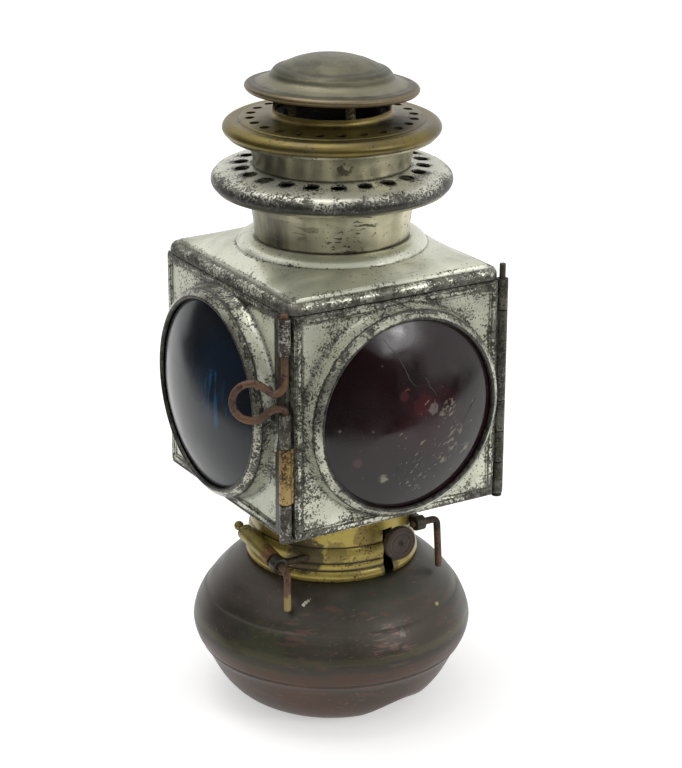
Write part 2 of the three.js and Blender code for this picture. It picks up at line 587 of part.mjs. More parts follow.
// Chimney: neck, two vented plates with a drum between them, flue, posts and cap
function makeChimney() {
  const lowerShares = [[0.935, 0], [0.959, 0], [0.987, 0.095], [1, 0.31], [0.989, 0.548], [0.95, 0.75],
    [0.871, 0.893], [0.69, 1]];
  const lowerSeat = lowerShares[0][0] * lowerPlate.radius + sheet;
  const neckShares = [[1, 0], [1.017, 0.3], [1.054, 0.67], [1.109, 0.87], [1.19, 0.945]];
  const neckTop = throatZ + neck.height - sheet;
  const neckPoints = [...scaled(neckShares, neck.radius, neck.height, throatZ), [lowerSeat, neckTop]];
  piece('lower_neck', lathe(shell(neckPoints, sheet), facets.large), 'nickel');

  const plateHoles = (plate, turn, z) => Array.from({ length: plate.holes }, (_, i) => {
    const hole = at(cylinder(plate.holeRadius, overrun * 4, facets.hole), 0, -plate.holeCircle, z);
    return hole.rotateZ(degrees(turn) + (2 * Math.PI * i) / plate.holes);
  });
  const lowerPoints = [...scaled(lowerShares, lowerPlate.radius, lowerPlate.height, lowerPlateZ),
    [lowerPlate.bore, drumZ]];
  const lower = lathe(shell(lowerPoints, sheet), facets.large);
  piece('lower_vent_plate', cut(lower, ...plateHoles(lowerPlate, lowerHoleTurn, drumZ)), 'nickel');

  const upperShares = [[0.925, 0], [0.957, 0], [0.986, 0.119], [1, 0.358], [0.981, 0.627], [0.93, 0.821],
    [0.853, 0.806], [0.836, 0.88]];
  const upperSeat = upperShares[0][0] * upperPlate.radius + sheet;
  const drumShares = [[1, 0], [1.007, 0.246], [1.047, 0.593], [1.107, 0.847]];
  const drumPoints = [...scaled(drumShares, drum.radius, drum.height, drumZ), [upperSeat, upperPlateZ - sheet]];
  piece('upper_drum', lathe(shell(drumPoints, sheet), facets.large), 'nickel');

  const upperPoints = [...scaled(upperShares, upperPlate.radius, upperPlate.height, upperPlateZ),
    [vent.radius + 2 * sheet, ventZ], [vent.radius, ventZ + vent.height / 2], [vent.radius, postZ]];
  const upper = lathe(shell(upperPoints, sheet), facets.large);
  piece('upper_vent_plate', cut(upper, ...plateHoles(upperPlate, upperHoleTurn, ventZ)), 'agedBrass');

  const skirtZ = throatZ - flue.skirtHeight;
  const flueTop = ventZ + flue.rise;
  piece('inner_flue', lathe(shell([
    [flue.skirtRadius, skirtZ], [flue.radius, skirtZ + flue.skirtDrop], [flue.radius, flueTop],
    [vent.radius - sheet - gap, flueTop],
  ], sheet), facets.medium), 'soot');

  const postRadius = vent.radius - sheet / 2;
  for (let i = 0; i < post.count; i++) {
    const turn = degrees(postTurn) + (2 * Math.PI * i) / post.count;
    const strip = new THREE.BoxGeometry(post.width, sheet, post.height);
    const tab = piece(`cap_post_${i + 1}`, strip, 'agedBrass');
    tab.position.set(postRadius * Math.sin(turn), -postRadius * Math.cos(turn), postZ + post.height / 2);
    tab.rotation.z = turn;
  }

  const capOuter = [[0, 1], [0.304, 0.94], [0.4255, 0.858], [0.517, 0.766], [0.59, 0.681], [0.626, 0.66],
    [0.657, 0.617], [0.687, 0.532], [0.705, 0.447], [0.7325, 0.383], [0.784, 0.319], [0.8815, 0.248], [0.936, 0.248],
    [0.97, 0.22], [0.994, 0.17], [1, 0.12], [0.991, 0.064], [0.973, 0.021], [0.948, 0]];
  const capInner = [[0.93, 0.028], [0.957, 0.057], [0.97, 0.113], [0.954, 0.156], [0.93, 0.184], [0.878, 0.184],
    [0.772, 0.255], [0.711, 0.326], [0.693, cap.seatShare], [0.635, cap.seatShare], [0.614, 0.582],
    [0.5775, 0.617], [0.505, 0.695], [0.298, 0.865], [0, 0.936]];
  const capPoints = scaled([...capOuter, ...capInner], cap.radius, cap.height, capZ);
  piece('cap', lathe(capPoints, facets.large), 'dullNickel');
}

// Barrels along a corner: strips with rolled knuckles, bored for the pin
function barrelLeaf(strip, tabs, spans, boreRadius) {
  const level = (share) => panelZ + share * body.panelHeight;
  const solids = spans.flatMap(([low, high]) => {
    const [z0, z1] = [level(low), level(high)];
    return [
      at(cylinder(corner.barrelRadius, z1 - z0, facets.rod), 0, 0, (z0 + z1) / 2),
      block(...tabs, z0, z1),
    ];
  });
  const leaf = block(...strip, level(spans[0][0]), level(spans[spans.length - 1][1]));
  const tool = cylinder(boreRadius, body.panelHeight + 2 * overrun, facets.rod);
  return cut(join(leaf, ...solids), at(tool, 0, 0, level(0.5)));
}

function makeHinge() {
  const bore = hinge.pinRadius + gap;
  const wallX = body.halfWidth - cornerX;   // the panel's face, seen from the pin
  const doorX = doorHalf - cornerX;
  const mid = (bore + corner.barrelRadius) / 2;
  const leafEnd = corner.leafSetback + corner.leafWidth;
  const bodyLeaf = barrelLeaf([wallX, wallX + corner.leaf, corner.leafSetback, leafEnd],
    [wallX, wallX + corner.leaf, corner.barrelRadius / 2, corner.leafSetback + corner.leaf],
    bodyBarrelShares, bore);
  piece('hinge_leaf_body', at(bodyLeaf, cornerX, cornerY, 0), 'nickel');
  const doorLeaf = barrelLeaf([doorX, doorX + corner.doorLeaf, gap - door.depth / 2, door.depth / 2 - gap],
    [doorX, -mid, -gap * 2, gap * 2], doorBarrelShares, bore);
  piece('hinge_leaf_door', at(doorLeaf, cornerX, cornerY, 0), 'dullNickel');
  const foot = panelZ - gap;
  const top = roofZ + hinge.stickUp;
  const headZ = foot - hinge.headHeight;
  const pinShape = [[0, headZ], [hinge.headRadius, headZ], [hinge.headRadius, foot],
    [hinge.pinRadius, foot], [hinge.pinRadius, top], [0, top]];
  piece('hinge_pin', at(lathe(pinShape, facets.rod), cornerX, cornerY, 0), 'darkSteel');
}

function makeCatch() {
  const bore = wire.radius + gap;
  const wallX = cornerX - body.halfWidth;
  const leafEnd = corner.leafSetback + corner.leafWidth;
  const strip = barrelLeaf([wallX - corner.leaf, wallX, corner.leafSetback, leafEnd],
    [wallX - corner.leaf, wallX, corner.barrelRadius / 2, corner.leafSetback + corner.leaf],
    catchBarrelShares, bore);
  piece('catch_leaf', at(strip, -cornerX, cornerY, 0), 'dullNickel');

  // The door's barrel is open towards the back, so it leaves the pin as the door swings
  const doorX = cornerX - doorHalf;
  const [low, high] = catchHookShares.map((share) => panelZ + share * body.panelHeight);
  const barrel = at(cylinder(corner.barrelRadius, high - low, facets.small), 0, 0, (low + high) / 2);
  const tab = block(bore, doorX, -corner.barrelRadius / 2, -gap, low, high);
  const mouth = block(-bore, bore, 0, corner.barrelRadius + overrun, low - overrun, high + overrun);
  const boreTool = at(cylinder(bore, high - low + 2 * overrun, facets.small), 0, 0, (low + high) / 2);
  piece('door_catch_barrel', at(cut(join(barrel, tab), boreTool, mouth), -cornerX, cornerY, 0), 'brass');

  // Pin: straight shank, round finger loop, straight shank again
  const upperShares = [[0.05, 0.33], [0.17, 0.07], [0.36, 0.02]];   // of the loop's reach and radius
  const lowerShares = [[0.36, 0], [0.17, -0.05], [0.02, 0.04]];
  const centre = pin.loopHeight;
  const upper = pin.upperLeg;
  const lower = 2 * centre - upper;
  const throat = 0.8;   // share of a right angle at which the loop opens
  const loopSteps = 9;
  const side = [[0, roofZ - panelZ + pin.top], [0, (roofZ - panelZ + pin.top + upper) / 2],
    [0, upper + 3 * wire.radius], [0, upper + 2 * wire.radius]];
  for (const [s, z] of upperShares) side.push([s * pin.loopReach, upper + z * pin.loopRadius]);
  for (let i = 0; i <= loopSteps; i++) {
    const angle = (Math.PI - throat * quarter) * (1 - (2 * i) / loopSteps);
    side.push([pin.loopReach + pin.loopRadius * Math.cos(angle), centre + pin.loopRadius * Math.sin(angle)]);
  }
  for (const [s, z] of lowerShares) side.push([s * pin.loopReach, lower - z * pin.loopRadius]);
  const foot = catchHookShares[1] * body.panelHeight - pin.foot;
  side.push([0, lower - 2 * wire.radius], [0, lower - 3 * wire.radius], [0, (lower + foot) / 2], [0, foot]);
  const turn = degrees(pin.turn);
  const route = new THREE.CatmullRomCurve3(side.map(([s, z]) => new THREE.Vector3(
    -cornerX - s * Math.cos(turn), cornerY + s * Math.sin(turn), panelZ + z)), false, 'centripetal');
  piece('latch_pin', wireAlong(route, wire.radius, pinSteps, pinSides), 'rust');
}

// Spring catches: a bent wire in a barrel on each side of the collar
function makeFountCatches() {
  const collarMid = seatZ + collar.height / 2;
  const around = (radius) => at(cylinder(radius + gap, collar.height * 2, facets.large), 0, 0, collarMid);
  const beadCutter = around(collar.radius);
  const wallCutter = around(collar.radius * collar.wallShare);
  const bore = wire.radius + gap;
  const tilt = degrees(leftCatch.tilt);
  const along = new THREE.Vector3(0, -Math.cos(tilt), -Math.sin(tilt));
  const leftX = collar.radius + leftCatch.standoff;
  const axis = new THREE.Vector3(-leftX, 0, seatZ + leftCatch.height);
  const point = (distance) => axis.clone().addScaledVector(along, distance);
  const corner1 = point(leftCatch.front);
  const toeZ = (spot) => shoulderHeight(Math.hypot(spot.x, spot.y) - wire.radius) + toeClearance;
  const toe = new THREE.Vector3(corner1.x, corner1.y, toeZ(corner1));
  piece('left_catch_wire', bentWire([point(-leftCatch.rear), corner1, toe], wire.radius), 'rust');

  const sleeveMid = (leftCatch.sleeveFront - leftCatch.sleeveRear) / 2;
  const sleeveLength = leftCatch.sleeveFront + leftCatch.sleeveRear;
  const tube = aim(cylinder(leftCatch.sleeveRadius, sleeveLength, facets.small), point(sleeveMid), along);
  const tubeBore = aim(cylinder(bore, sleeveLength + 2 * overrun, facets.rod), point(sleeveMid), along);
  const saddle = block(-leftX, -collar.radius + sheet, -leftCatch.sleeveRadius, leftCatch.sleeveRadius,
    axis.z - leftCatch.sleeveRadius * 0.7, axis.z + leftCatch.sleeveRadius * 0.7);
  piece('left_catch_sleeve', cut(join(tube, saddle), tubeBore, beadCutter), 'brass');

  const ball = new THREE.SphereGeometry(leftCatch.ball, facets.rod, facets.rod / 2);
  const ballCentre = point(-leftCatch.rear - leftCatch.ball * 0.9);
  const ballEnd = point(leftCatch.ball - leftCatch.rear);
  const ballCut = aim(cylinder(leftCatch.ball, leftCatch.ball * 2, facets.rod), ballEnd, along);
  piece('left_catch_knob', cut(at(ball, ballCentre.x, ballCentre.y, ballCentre.z), ballCut), 'agedBrass');

  const middle = point(leftCatch.bracketNear + leftCatch.bracketThick / 2);
  const eye = aim(cylinder(leftCatch.sleeveRadius, leftCatch.bracketThick, facets.small), middle, along);
  const eyeBore = aim(cylinder(bore, leftCatch.bracketThick * 3, facets.rod), middle, along);
  const half = leftCatch.bracketHeight / 2;
  const thick = leftCatch.bracketThick / 2 - gap;
  const arm = block(middle.x, 0, middle.y - thick, middle.y + thick, middle.z - half, middle.z + half);
  piece('left_catch_bracket', cut(join(eye, arm), eyeBore, beadCutter), 'darkSteel');

  const z = seatZ + rightCatch.height;
  const rightY = collar.radius * rightCatch.chordShare;
  const knee = new THREE.Vector3(rightCatch.reach, -rightY, z);
  const rightToe = new THREE.Vector3(rightCatch.reach, -rightY - rightCatch.kick, z);
  rightToe.setZ(toeZ(rightToe));
  const rightStart = new THREE.Vector3(rightCatch.start, -rightY, z);
  piece('right_catch_wire', bentWire([rightStart, knee, rightToe], wire.radius), 'rust');
  const right = new THREE.Vector3(1, 0, 0);
  const seat = new THREE.Vector3(rightCatch.bracketFrom + rightCatch.bracketThick / 2, -rightY, z);
  const barrel = aim(cylinder(rightCatch.barrelRadius, rightCatch.bracketThick, facets.small), seat, right);
  const barrelBore = aim(cylinder(bore, rightCatch.bracketThick * 3, facets.rod), seat, right);
  const rightHalf = rightCatch.bracketHeight / 2;
  const bracketEnd = rightCatch.bracketFrom + rightCatch.bracketThick;
  const foot = block(rightCatch.bracketFrom, bracketEnd, -rightY, -rightY / 2, z - rightHalf, z + rightHalf);
  piece('right_catch_bracket', cut(join(barrel, foot), barrelBore, wallCutter), 'darkSteel');
}

makeFount();
const drive = makeBurner();
makeCollar(drive);
makeFloor();
makePanels();
makeDoor();
makeRoof();
makeChimney();
makeHinge();
makeCatch();
makeFountCatches();

export default lamp;
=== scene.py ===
import math
import random

import bmesh
import bpy
from mathutils import Matrix, Vector, noise


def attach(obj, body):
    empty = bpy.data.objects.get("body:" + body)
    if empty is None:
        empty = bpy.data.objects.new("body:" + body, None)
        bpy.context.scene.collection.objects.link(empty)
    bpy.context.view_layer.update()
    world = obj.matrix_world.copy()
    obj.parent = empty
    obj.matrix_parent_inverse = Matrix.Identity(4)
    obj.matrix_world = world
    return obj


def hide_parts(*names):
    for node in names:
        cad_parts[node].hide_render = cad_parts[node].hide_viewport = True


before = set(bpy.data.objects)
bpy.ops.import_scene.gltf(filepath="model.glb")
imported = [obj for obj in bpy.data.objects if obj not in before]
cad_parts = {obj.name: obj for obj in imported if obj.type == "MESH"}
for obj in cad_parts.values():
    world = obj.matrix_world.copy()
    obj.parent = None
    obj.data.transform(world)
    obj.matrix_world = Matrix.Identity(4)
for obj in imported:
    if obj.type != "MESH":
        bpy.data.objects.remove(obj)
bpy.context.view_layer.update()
mm = 0.001
print("frame loaded:", len(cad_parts), "nodes")


# camera, floor and lights

cameraView = {"lens": 107.79, "place": (-0.43152, -0.72047, 0.43814),
              "right": (0.856186, -0.516660, 0.002768), "up": (0.176349, 0.297264, 0.938368)}
studio = {
    "floorColour": (0.84, 0.84, 0.83), "floorSize": (9, 9), "floorGlow": 0.46,
    "roomStrength": 0.62, "roomSeen": 0.95, "darkGrey": 0.03,
    "lights": [("topLight", (-0.25, 0.2, 1.7), (0, 0, 0.12), (1.1, 1.1), 9.0),
               ("softbox", (0.55, -1.25, 0.69), (0, 0, 0.13), (0.6, 0.4), 3.6),
               ("softboxCore", (0.53, -1.22, 0.68), (0, 0, 0.13), (0.16, 0.1), 0.5)],
    "darkCards": [("tableEndWide", (-0.25, -1.865, 0.001), (-0.25, -1.865, 1), (2.7, 3.07)),
                  ("tableEndLeft", (-0.965, 0.385, 0.001), (-0.965, 0.385, 1), (1.27, 1.43)),
                  ("roomBehind", (-0.1, -2.1, 0.65), (-0.1, 0, 0.65), (3.0, 1.3)),
                  ("roomLeft", (-1.6, -0.3, 0.65), (0, -0.3, 0.65), (2.8, 1.3)),
                  ("roomCorner", (-1.05, 1.1, 0.45), (-1.05, 0, 0.45), (1.1, 0.9))]}


def makeCamera():
    data = bpy.data.cameras.new("photoCamera")
    data.lens, data.sensor_fit, data.sensor_width, data.clip_end = cameraView["lens"], "AUTO", 36, 20
    data.dof.use_dof = False
    right, up = Vector(cameraView["right"]).normalized(), Vector(cameraView["up"])
    back = right.cross(up).normalized()
    turn = Matrix((right, back.cross(right), back)).transposed().to_4x4()
    camera = bpy.data.objects.new("photoCamera", data)
    camera.matrix_world = Matrix.Translation(cameraView["place"]) @ turn
    bpy.context.collection.objects.link(camera)
    bpy.context.scene.camera = camera


def link(tree, sockets, name, value):   # a value may be a number, a colour or another node's output
    if isinstance(value, bpy.types.NodeSocket):
        tree.links.new(value, sockets[name])
    else:
        sockets[name].default_value = value


def put(tree, kind, values=None, **options):
    made = tree.nodes.new("ShaderNode" + kind)
    for name, value in options.items():
        setattr(made, name, value)
    for name, value in (values or {}).items():
        link(tree, made.inputs, name, value)
    return made


def calc(tree, operation, *values):
    return put(tree, "Math", dict(enumerate(values)), operation=operation).outputs[0]


def times(tree, *values):
    return calc(tree, "MULTIPLY", *values)


def centred(tree, value):
    return calc(tree, "SUBTRACT", value, 0.5)


def blend(tree, factor, first, second, mode="MIX"):
    return put(tree, "Mix", {0: factor, 6: first, 7: second}, data_type="RGBA", blend_type=mode).outputs[2]


def fade(tree, value, low, high):   # 0 at low, 1 at high, eased between
    values = {"Value": value, "From Min": low, "From Max": high}
    return put(tree, "MapRange", values, interpolation_type="SMOOTHSTEP").outputs[0]


def cloud(tree, vector, scale, detail, rough=0.5, distortion=0.0):
    values = {"Vector": vector, "Scale": scale, "Detail": detail, "Roughness": rough, "Distortion": distortion}
    return put(tree, "TexNoise", values).outputs["Fac"]


def rgba(colour):
    return (*colour, 1.0)


def aim(obj, place, target, axis):
    obj.location = place
    obj.rotation_euler = (Vector(target) - Vector(place)).to_track_quat(axis, "Y").to_euler()
    bpy.context.collection.objects.link(obj)


def areaLight(name, place, target, size, power):
    data = bpy.data.lights.new(name, "AREA")
    data.shape = "RECTANGLE"
    data.size, data.size_y = size
    data.energy = power
    aim(bpy.data.objects.new(name, data), place, target, "-Z")


def flatCard(name, place, target, size, material):
    mesh = bpy.data.meshes.new(name)
    w, h = size[0] / 2, size[1] / 2
    mesh.from_pydata([(-w, -h, 0), (w, -h, 0), (w, h, 0), (-w, h, 0)], [], [(0, 1, 2, 3)])
    mesh.materials.append(material)
    card = bpy.data.objects.new(name, mesh)
    aim(card, place, target, "Z")
    return card


def newTree(owner):
    owner.use_nodes = True
    owner.node_tree.nodes.clear()
    return owner.node_tree


def seenDirectly(tree):   # camera, glossy and transmission rays
    path = put(tree, "LightPath").outputs
    both = calc(tree, "MAXIMUM", path["Is Camera Ray"], path["Is Glossy Ray"])
    return calc(tree, "MAXIMUM", both, path["Is Transmission Ray"])


def makeStudio():
    world = bpy.data.worlds.new("paleRoom")
    bpy.context.scene.world = world
    tree = newTree(world)
    unseen = studio["roomStrength"]
    strength = calc(tree, "MULTIPLY_ADD", seenDirectly(tree), studio["roomSeen"] - unseen, unseen)
    sky = put(tree, "Background", {"Color": (1, 1, 1, 1), "Strength": strength})
    put(tree, "OutputWorld", {"Surface": sky.outputs[0]})

    paper = bpy.data.materials.new("paleFloor")
    tree = newTree(paper)
    matt = put(tree, "BsdfDiffuse", {"Color": rgba(studio["floorColour"])})
    strength = times(tree, seenDirectly(tree), studio["floorGlow"])
    glow = put(tree, "Emission", {"Color": (1, 1, 1, 1), "Strength": strength})
    both = put(tree, "AddShader", {0: matt.outputs[0], 1: glow.outputs[0]})
    put(tree, "OutputMaterial", {"Surface": both.outputs[0]})
    flatCard("studioFloor", (0, 0, 0), (0, 0, 1), studio["floorSize"], paper)

    dark = bpy.data.materials.new("darkRoom")   # the unlit side of the room, behind the camera
    dark.use_nodes = True
    shader = dark.node_tree.nodes["Principled BSDF"].inputs
    shader["Base Color"].default_value = rgba([studio["darkGrey"]] * 3)
    shader["Roughness"].default_value = 1
    for card in (flatCard(*values, dark) for values in studio["darkCards"]):   # only seen in the gloss
        card.visible_camera = card.visible_diffuse = card.visible_transmission = card.visible_shadow = False
    for values in studio["lights"]:
        areaLight(*values)
    bpy.context.scene.view_settings.view_transform = "Standard"


makeCamera()
makeStudio()
print("camera, floor and lights ready")


# shared surface effects, each a node group placed with its own values

def newGroup(name, sockets, results):
    group = bpy.data.node_groups.new(name, "ShaderNodeTree")
    group.interface.new_socket("Vector", in_out="INPUT", socket_type="NodeSocketVector")
    for label, value in sockets.items():
        kind = "NodeSocketVector" if isinstance(value, tuple) else "NodeSocketFloat"
        group.interface.new_socket(label, in_out="INPUT", socket_type=kind).default_value = value
    for label in results:
        group.interface.new_socket(label, in_out="OUTPUT", socket_type="NodeSocketFloat")
    return group, group.nodes.new("NodeGroupInput").outputs, group.nodes.new("NodeGroupOutput").inputs


def makeFlaking():   # plating lost in ragged patches with fine speckle round them
    sockets = {"Edge": 0.0, "Amount": 0.5, "Patch Scale": 90.0, "Grain Scale": 900.0, "Edge Pull": 0.3, "Speckle": 0.3}
    group, given, result = newGroup("flakingPlate", sockets, ["Bare", "Rim"])
    where, grainScale = given["Vector"], given["Grain Scale"]
    patch = cloud(group, where, given["Patch Scale"], 5.0, 0.62)
    grain = cloud(group, where, grainScale, 3.0, 0.6)
    speck = put(group, "TexVoronoi", {"Vector": where, "Scale": grainScale}, feature="SMOOTH_F1").outputs["Distance"]
    total = calc(group, "MULTIPLY_ADD", centred(group, patch), 1.2, 0.5)
    total = calc(group, "ADD", total, times(group, centred(group, grain), 1.15))
    total = calc(group, "ADD", total, times(group, given["Edge"], given["Edge Pull"]))
    total = calc(group, "ADD", total, centred(group, given["Amount"]))
    spots = times(group, fade(group, speck, 0.34, 0.2), given["Speckle"])
    total = calc(group, "ADD", total, times(group, spots, fade(group, total, 0.36, 0.56)))
    group.links.new(fade(group, total, 0.57, 0.62), result["Bare"])
    group.links.new(fade(group, total, 0.42, 0.58), result["Rim"])
    return group


def makeBloom():   # slow change of tint across a surface
    group, given, result = newGroup("tarnishBloom", {"Scale": 30.0, "Contrast": 0.2}, ["Mask"])
    tint = cloud(group, given["Vector"], given["Scale"], 4.0, 0.55, 0.4)
    low, high = (calc(group, way, 0.5, given["Contrast"]) for way in ("SUBTRACT", "ADD"))
    group.links.new(fade(group, tint, low, high), result["Mask"])
    return group


def makeScratches():   # fine hairlines of three directions
    group, given, result = newGroup("hairScratches", {"Scale": 60.0, "Amount": 0.5}, ["Mask"])
    where, total = given["Vector"], None
    sets = [((0.3, 0.2, 0.5), 1.0, 70.0), ((1.1, 0.4, 2.2), 4.0, 90.0), ((0.2, 1.3, 1.0), 9.0, 110.0)]
    for turn, seed, gateScale in sets:
        spun = put(group, "Mapping", {"Vector": where, "Rotation": turn, "Scale": (1.0, 22.0, 22.0)}).outputs[0]
        spun = put(group, "VectorMath", {0: spun, 1: [seed] * 3}, operation="ADD").outputs[0]
        gate = fade(group, cloud(group, where, gateScale, 1.0), 0.5, 0.62)
        line = times(group, fade(group, cloud(group, spun, given["Scale"], 1.0), 0.7, 0.76), gate)
        total = line if total is None else calc(group, "MAXIMUM", total, line)
    group.links.new(times(group, total, given["Amount"]), result["Mask"])
    return group


def makePitting():   # small dark pits and raised crumbs
    group, given, result = newGroup("pitting", {"Scale": 500.0, "Size": 0.2}, ["Pits", "Height"])
    where, scale = given["Vector"], given["Scale"]
    cells = put(group, "TexVoronoi", {"Vector": where, "Scale": scale}).outputs["Distance"]
    gate = fade(group, cloud(group, where, 140.0, 2.0), 0.5, 0.6)
    pits = times(group, fade(group, cells, given["Size"], times(group, given["Size"], 0.4)), gate)
    group.links.new(pits, result["Pits"])
    group.links.new(calc(group, "SUBTRACT", cloud(group, where, scale, 4.0), pits), result["Height"])
    return group


def makeStreaks():   # turning or drawing marks, stretched by the material's own scale; stood upright and made strong they are painted light and dark reflection zones
    group, given, result = newGroup("streaksAndSheenZones", {"Stretch": (1, 1, 30), "Scale": 60.0}, ["Mask"])
    pulled = put(group, "Mapping", {"Vector": given["Vector"], "Scale": given["Stretch"]}).outputs[0]
    group.links.new(cloud(group, pulled, given["Scale"], 4.0, 0.6), result["Mask"])
    return group


def makeMark():   # a soft ragged spot round a point, for marks in a known place
    group, given, result = newGroup("placedMark", {"Centre": (0, 0, 0), "Radius": 0.01, "Ragged": 0.4}, ["Mask"])
    away = put(group, "VectorMath", {0: given["Vector"], 1: given["Centre"]}, operation="DISTANCE").outputs["Value"]
    push = times(group, centred(group, cloud(group, given["Vector"], 420.0, 5.0, 0.65)), given["Ragged"])
    share = calc(group, "ADD", calc(group, "DIVIDE", away, given["Radius"]), times(group, push, 4.0))
    group.links.new(fade(group, share, 1.1, 0.75), result["Mask"])
    return group


effects = {"flaking": makeFlaking(), "bloom": makeBloom(), "scratches": makeScratches(),
           "pitting": makePitting(), "streaks": makeStreaks(), "mark": makeMark()}


def useEffect(tree, name, vector, *values):   # values in the order of the group's sockets
    made = tree.nodes.new("ShaderNodeGroup")
    made.node_tree = effects[name]
    for k, value in enumerate((vector, *values)):
        link(tree, made.inputs, k, value)
    return made.outputs


def newMaterial(name):
    material = bpy.data.materials.new(name)
    material.use_nodes = True
    tree = material.node_tree
    return material, tree, tree.nodes["Principled BSDF"].inputs, put(tree, "TexCoord").outputs["Object"]


def spotMask(tree, home, centre, radius, ragged):
    return useEffect(tree, "mark", home, Vector(centre) * mm, radius * mm, ragged)["Mask"]


def addFlecks(tree, colour, home, flecks, soft, turn=None):   # streaks and crumbs in one part of the piece
    for centre, radius, stretch, scale, level, paint, strength in flecks:
        mask = spotMask(tree, home, centre, radius, 0.5)
        way = put(tree, "Mapping", {"Vector": home, "Rotation": turn}).outputs[0] if turn else home
        pulled = put(tree, "Mapping", {"Vector": way, "Scale": stretch}).outputs[0]
        crumbs = fade(tree, cloud(tree, pulled, scale, 3.0), level, level + soft)
        colour = blend(tree, times(tree, times(tree, mask, crumbs), strength), colour, rgba(paint))
    return colour


def addRelief(tree, shader, strength, height):
    values = {"Strength": strength, "Distance": 0.0002, "Height": height}
    link(tree, shader, "Normal", put(tree, "Bump", values).outputs[0])


def makeAgedMetal(name, look):
    material, tree, shader, home = newMaterial(name)
    seed = look["seed"]
    place = put(tree, "VectorMath", {0: home, 1: (seed, seed * 0.7, seed * 1.3)}, operation="ADD").outputs[0]
    edge, zone = (put(tree, "Attribute", attribute_name=label).outputs["Fac"] for label in ("edge", "zone"))

    bloom = useEffect(tree, "bloom", place, look["bloomScale"], look["bloomContrast"])["Mask"]
    colour = blend(tree, bloom, rgba(look["main"]), rgba(look["second"]))
    # the streaks scale the colour: tool marks, and on the satin nickel painted reflection zones
    streaks = useEffect(tree, "streaks", place, look["stretch"], look["streakScale"])["Mask"]
    shade = calc(tree, "MULTIPLY_ADD", centred(tree, streaks), look["streakShade"], 1.0)
    colour = blend(tree, 1.0, colour, shade, "MULTIPLY")

    ridge = calc(tree, "MAXIMUM", edge, times(tree, edge, -0.3))
    pull = calc(tree, "ADD", ridge, times(tree, zone, look["zonePull"]))
    flakes = useEffect(tree, "flaking", place, pull, look["bareAmount"], look["patchScale"], look["grainScale"],
                       look["edgePull"], look["speckle"])
    bareTint = useEffect(tree, "bloom", place, 420.0, 0.12)["Mask"]
    bareColour = blend(tree, bareTint, rgba(look["bare"]), rgba(look["bareSecond"]))
    colour = blend(tree, times(tree, flakes["Rim"], look["rimShade"]), colour, rgba(look["rim"]))
    colour = blend(tree, flakes["Bare"], colour, bareColour)

    # creases are darkened towards the near-black colour: partly dirt, partly painted shade
    grimeAndShade = times(tree, fade(tree, edge, -0.08, -0.6), look["grimeAndShadeAmount"])
    colour = blend(tree, grimeAndShade, colour, rgba(look["grimeAndShade"]))
    pits = useEffect(tree, "pitting", place, look["pitScale"], look["pitSize"])
    colour = blend(tree, times(tree, pits["Pits"], look["pitShade"]), colour, rgba(look["grimeAndShade"]))
    scratches = useEffect(tree, "scratches", place, look["scratchScale"], look["scratchAmount"])["Mask"]
    colour = blend(tree, scratches, colour, rgba(look["scratch"]))
    metal = blend(tree, flakes["Bare"], *(rgba([share] * 3) for share in look["metallic"]))
    sound, worn = look["roughness"]
    rough = calc(tree, "MULTIPLY_ADD", flakes["Bare"], worn - sound, sound)
    rough = calc(tree, "ADD", rough, times(tree, centred(tree, streaks), look["roughSpread"]))
    for centre, radius, paint, strength in look["marks"]:
        mask = spotMask(tree, home, centre, radius, look["ragged"])
        colour = blend(tree, times(tree, mask, strength), colour, rgba(paint))
        rough = calc(tree, "MULTIPLY_ADD", mask, 0.12 * strength, rough)
    colour = addFlecks(tree, colour, home, look["flecks"], 0.05)
    height = put(tree, "VectorMath", {0: home, 1: look["upward"]}, operation="DOT_PRODUCT").outputs["Value"]
    for low, high, paint, strength in look["bands"]:
        wave = centred(tree, cloud(tree, home, 150.0, 4.0))
        level = calc(tree, "MULTIPLY_ADD", wave, min(6, (high - low) * 0.9) * mm, height)
        soft = (high - low) * 0.3 * mm
        low, high = low * mm, high * mm
        mask = times(tree, fade(tree, level, low - soft, low + soft), fade(tree, level, high + soft, high - soft))
        colour = blend(tree, times(tree, mask, strength), colour, rgba(paint))
    relief = times(tree, pits["Height"], look["pitRelief"])
    relief = calc(tree, "SUBTRACT", relief, times(tree, flakes["Bare"], look["flakeRelief"]))
    relief = calc(tree, "SUBTRACT", relief, times(tree, scratches, 0.3))
    relief = calc(tree, "ADD", relief, times(tree, streaks, look["streakRelief"]))
    addRelief(tree, shader, look["bump"], relief)
    for socket, value in (("Base Color", colour), ("Metallic", metal), ("Roughness", rough)):
        link(tree, shader, socket, value)
    return material


plateLook = dict(seed=0.0, main=(0.74, 0.75, 0.61), second=(0.47, 0.49, 0.39), bare=(0.05, 0.047, 0.037),
    bareSecond=(0.17, 0.165, 0.135), rim=(0.36, 0.355, 0.29), scratch=(0.12, 0.11, 0.1),
    grimeAndShade=(0.02, 0.018, 0.015), metallic=(0.5, 0.6), roughness=(0.34, 0.46), bloomScale=28.0,
    bloomContrast=0.16, stretch=(1, 1, 1), streakScale=20.0, streakShade=0.3, zonePull=0.36, bareAmount=0.385,
    patchScale=95.0, grainScale=1150.0, edgePull=0.5, speckle=0.4, rimShade=0.7, grimeAndShadeAmount=0.55,
    pitScale=600.0, pitSize=0.24, pitShade=0.7, scratchScale=50.0, scratchAmount=0.45, roughSpread=0.25,
    marks=[], ragged=0.4, flecks=[], upward=(0, 0, 1), bands=[], pitRelief=0.3, flakeRelief=0.5,
    streakRelief=0.15, bump=0.5)

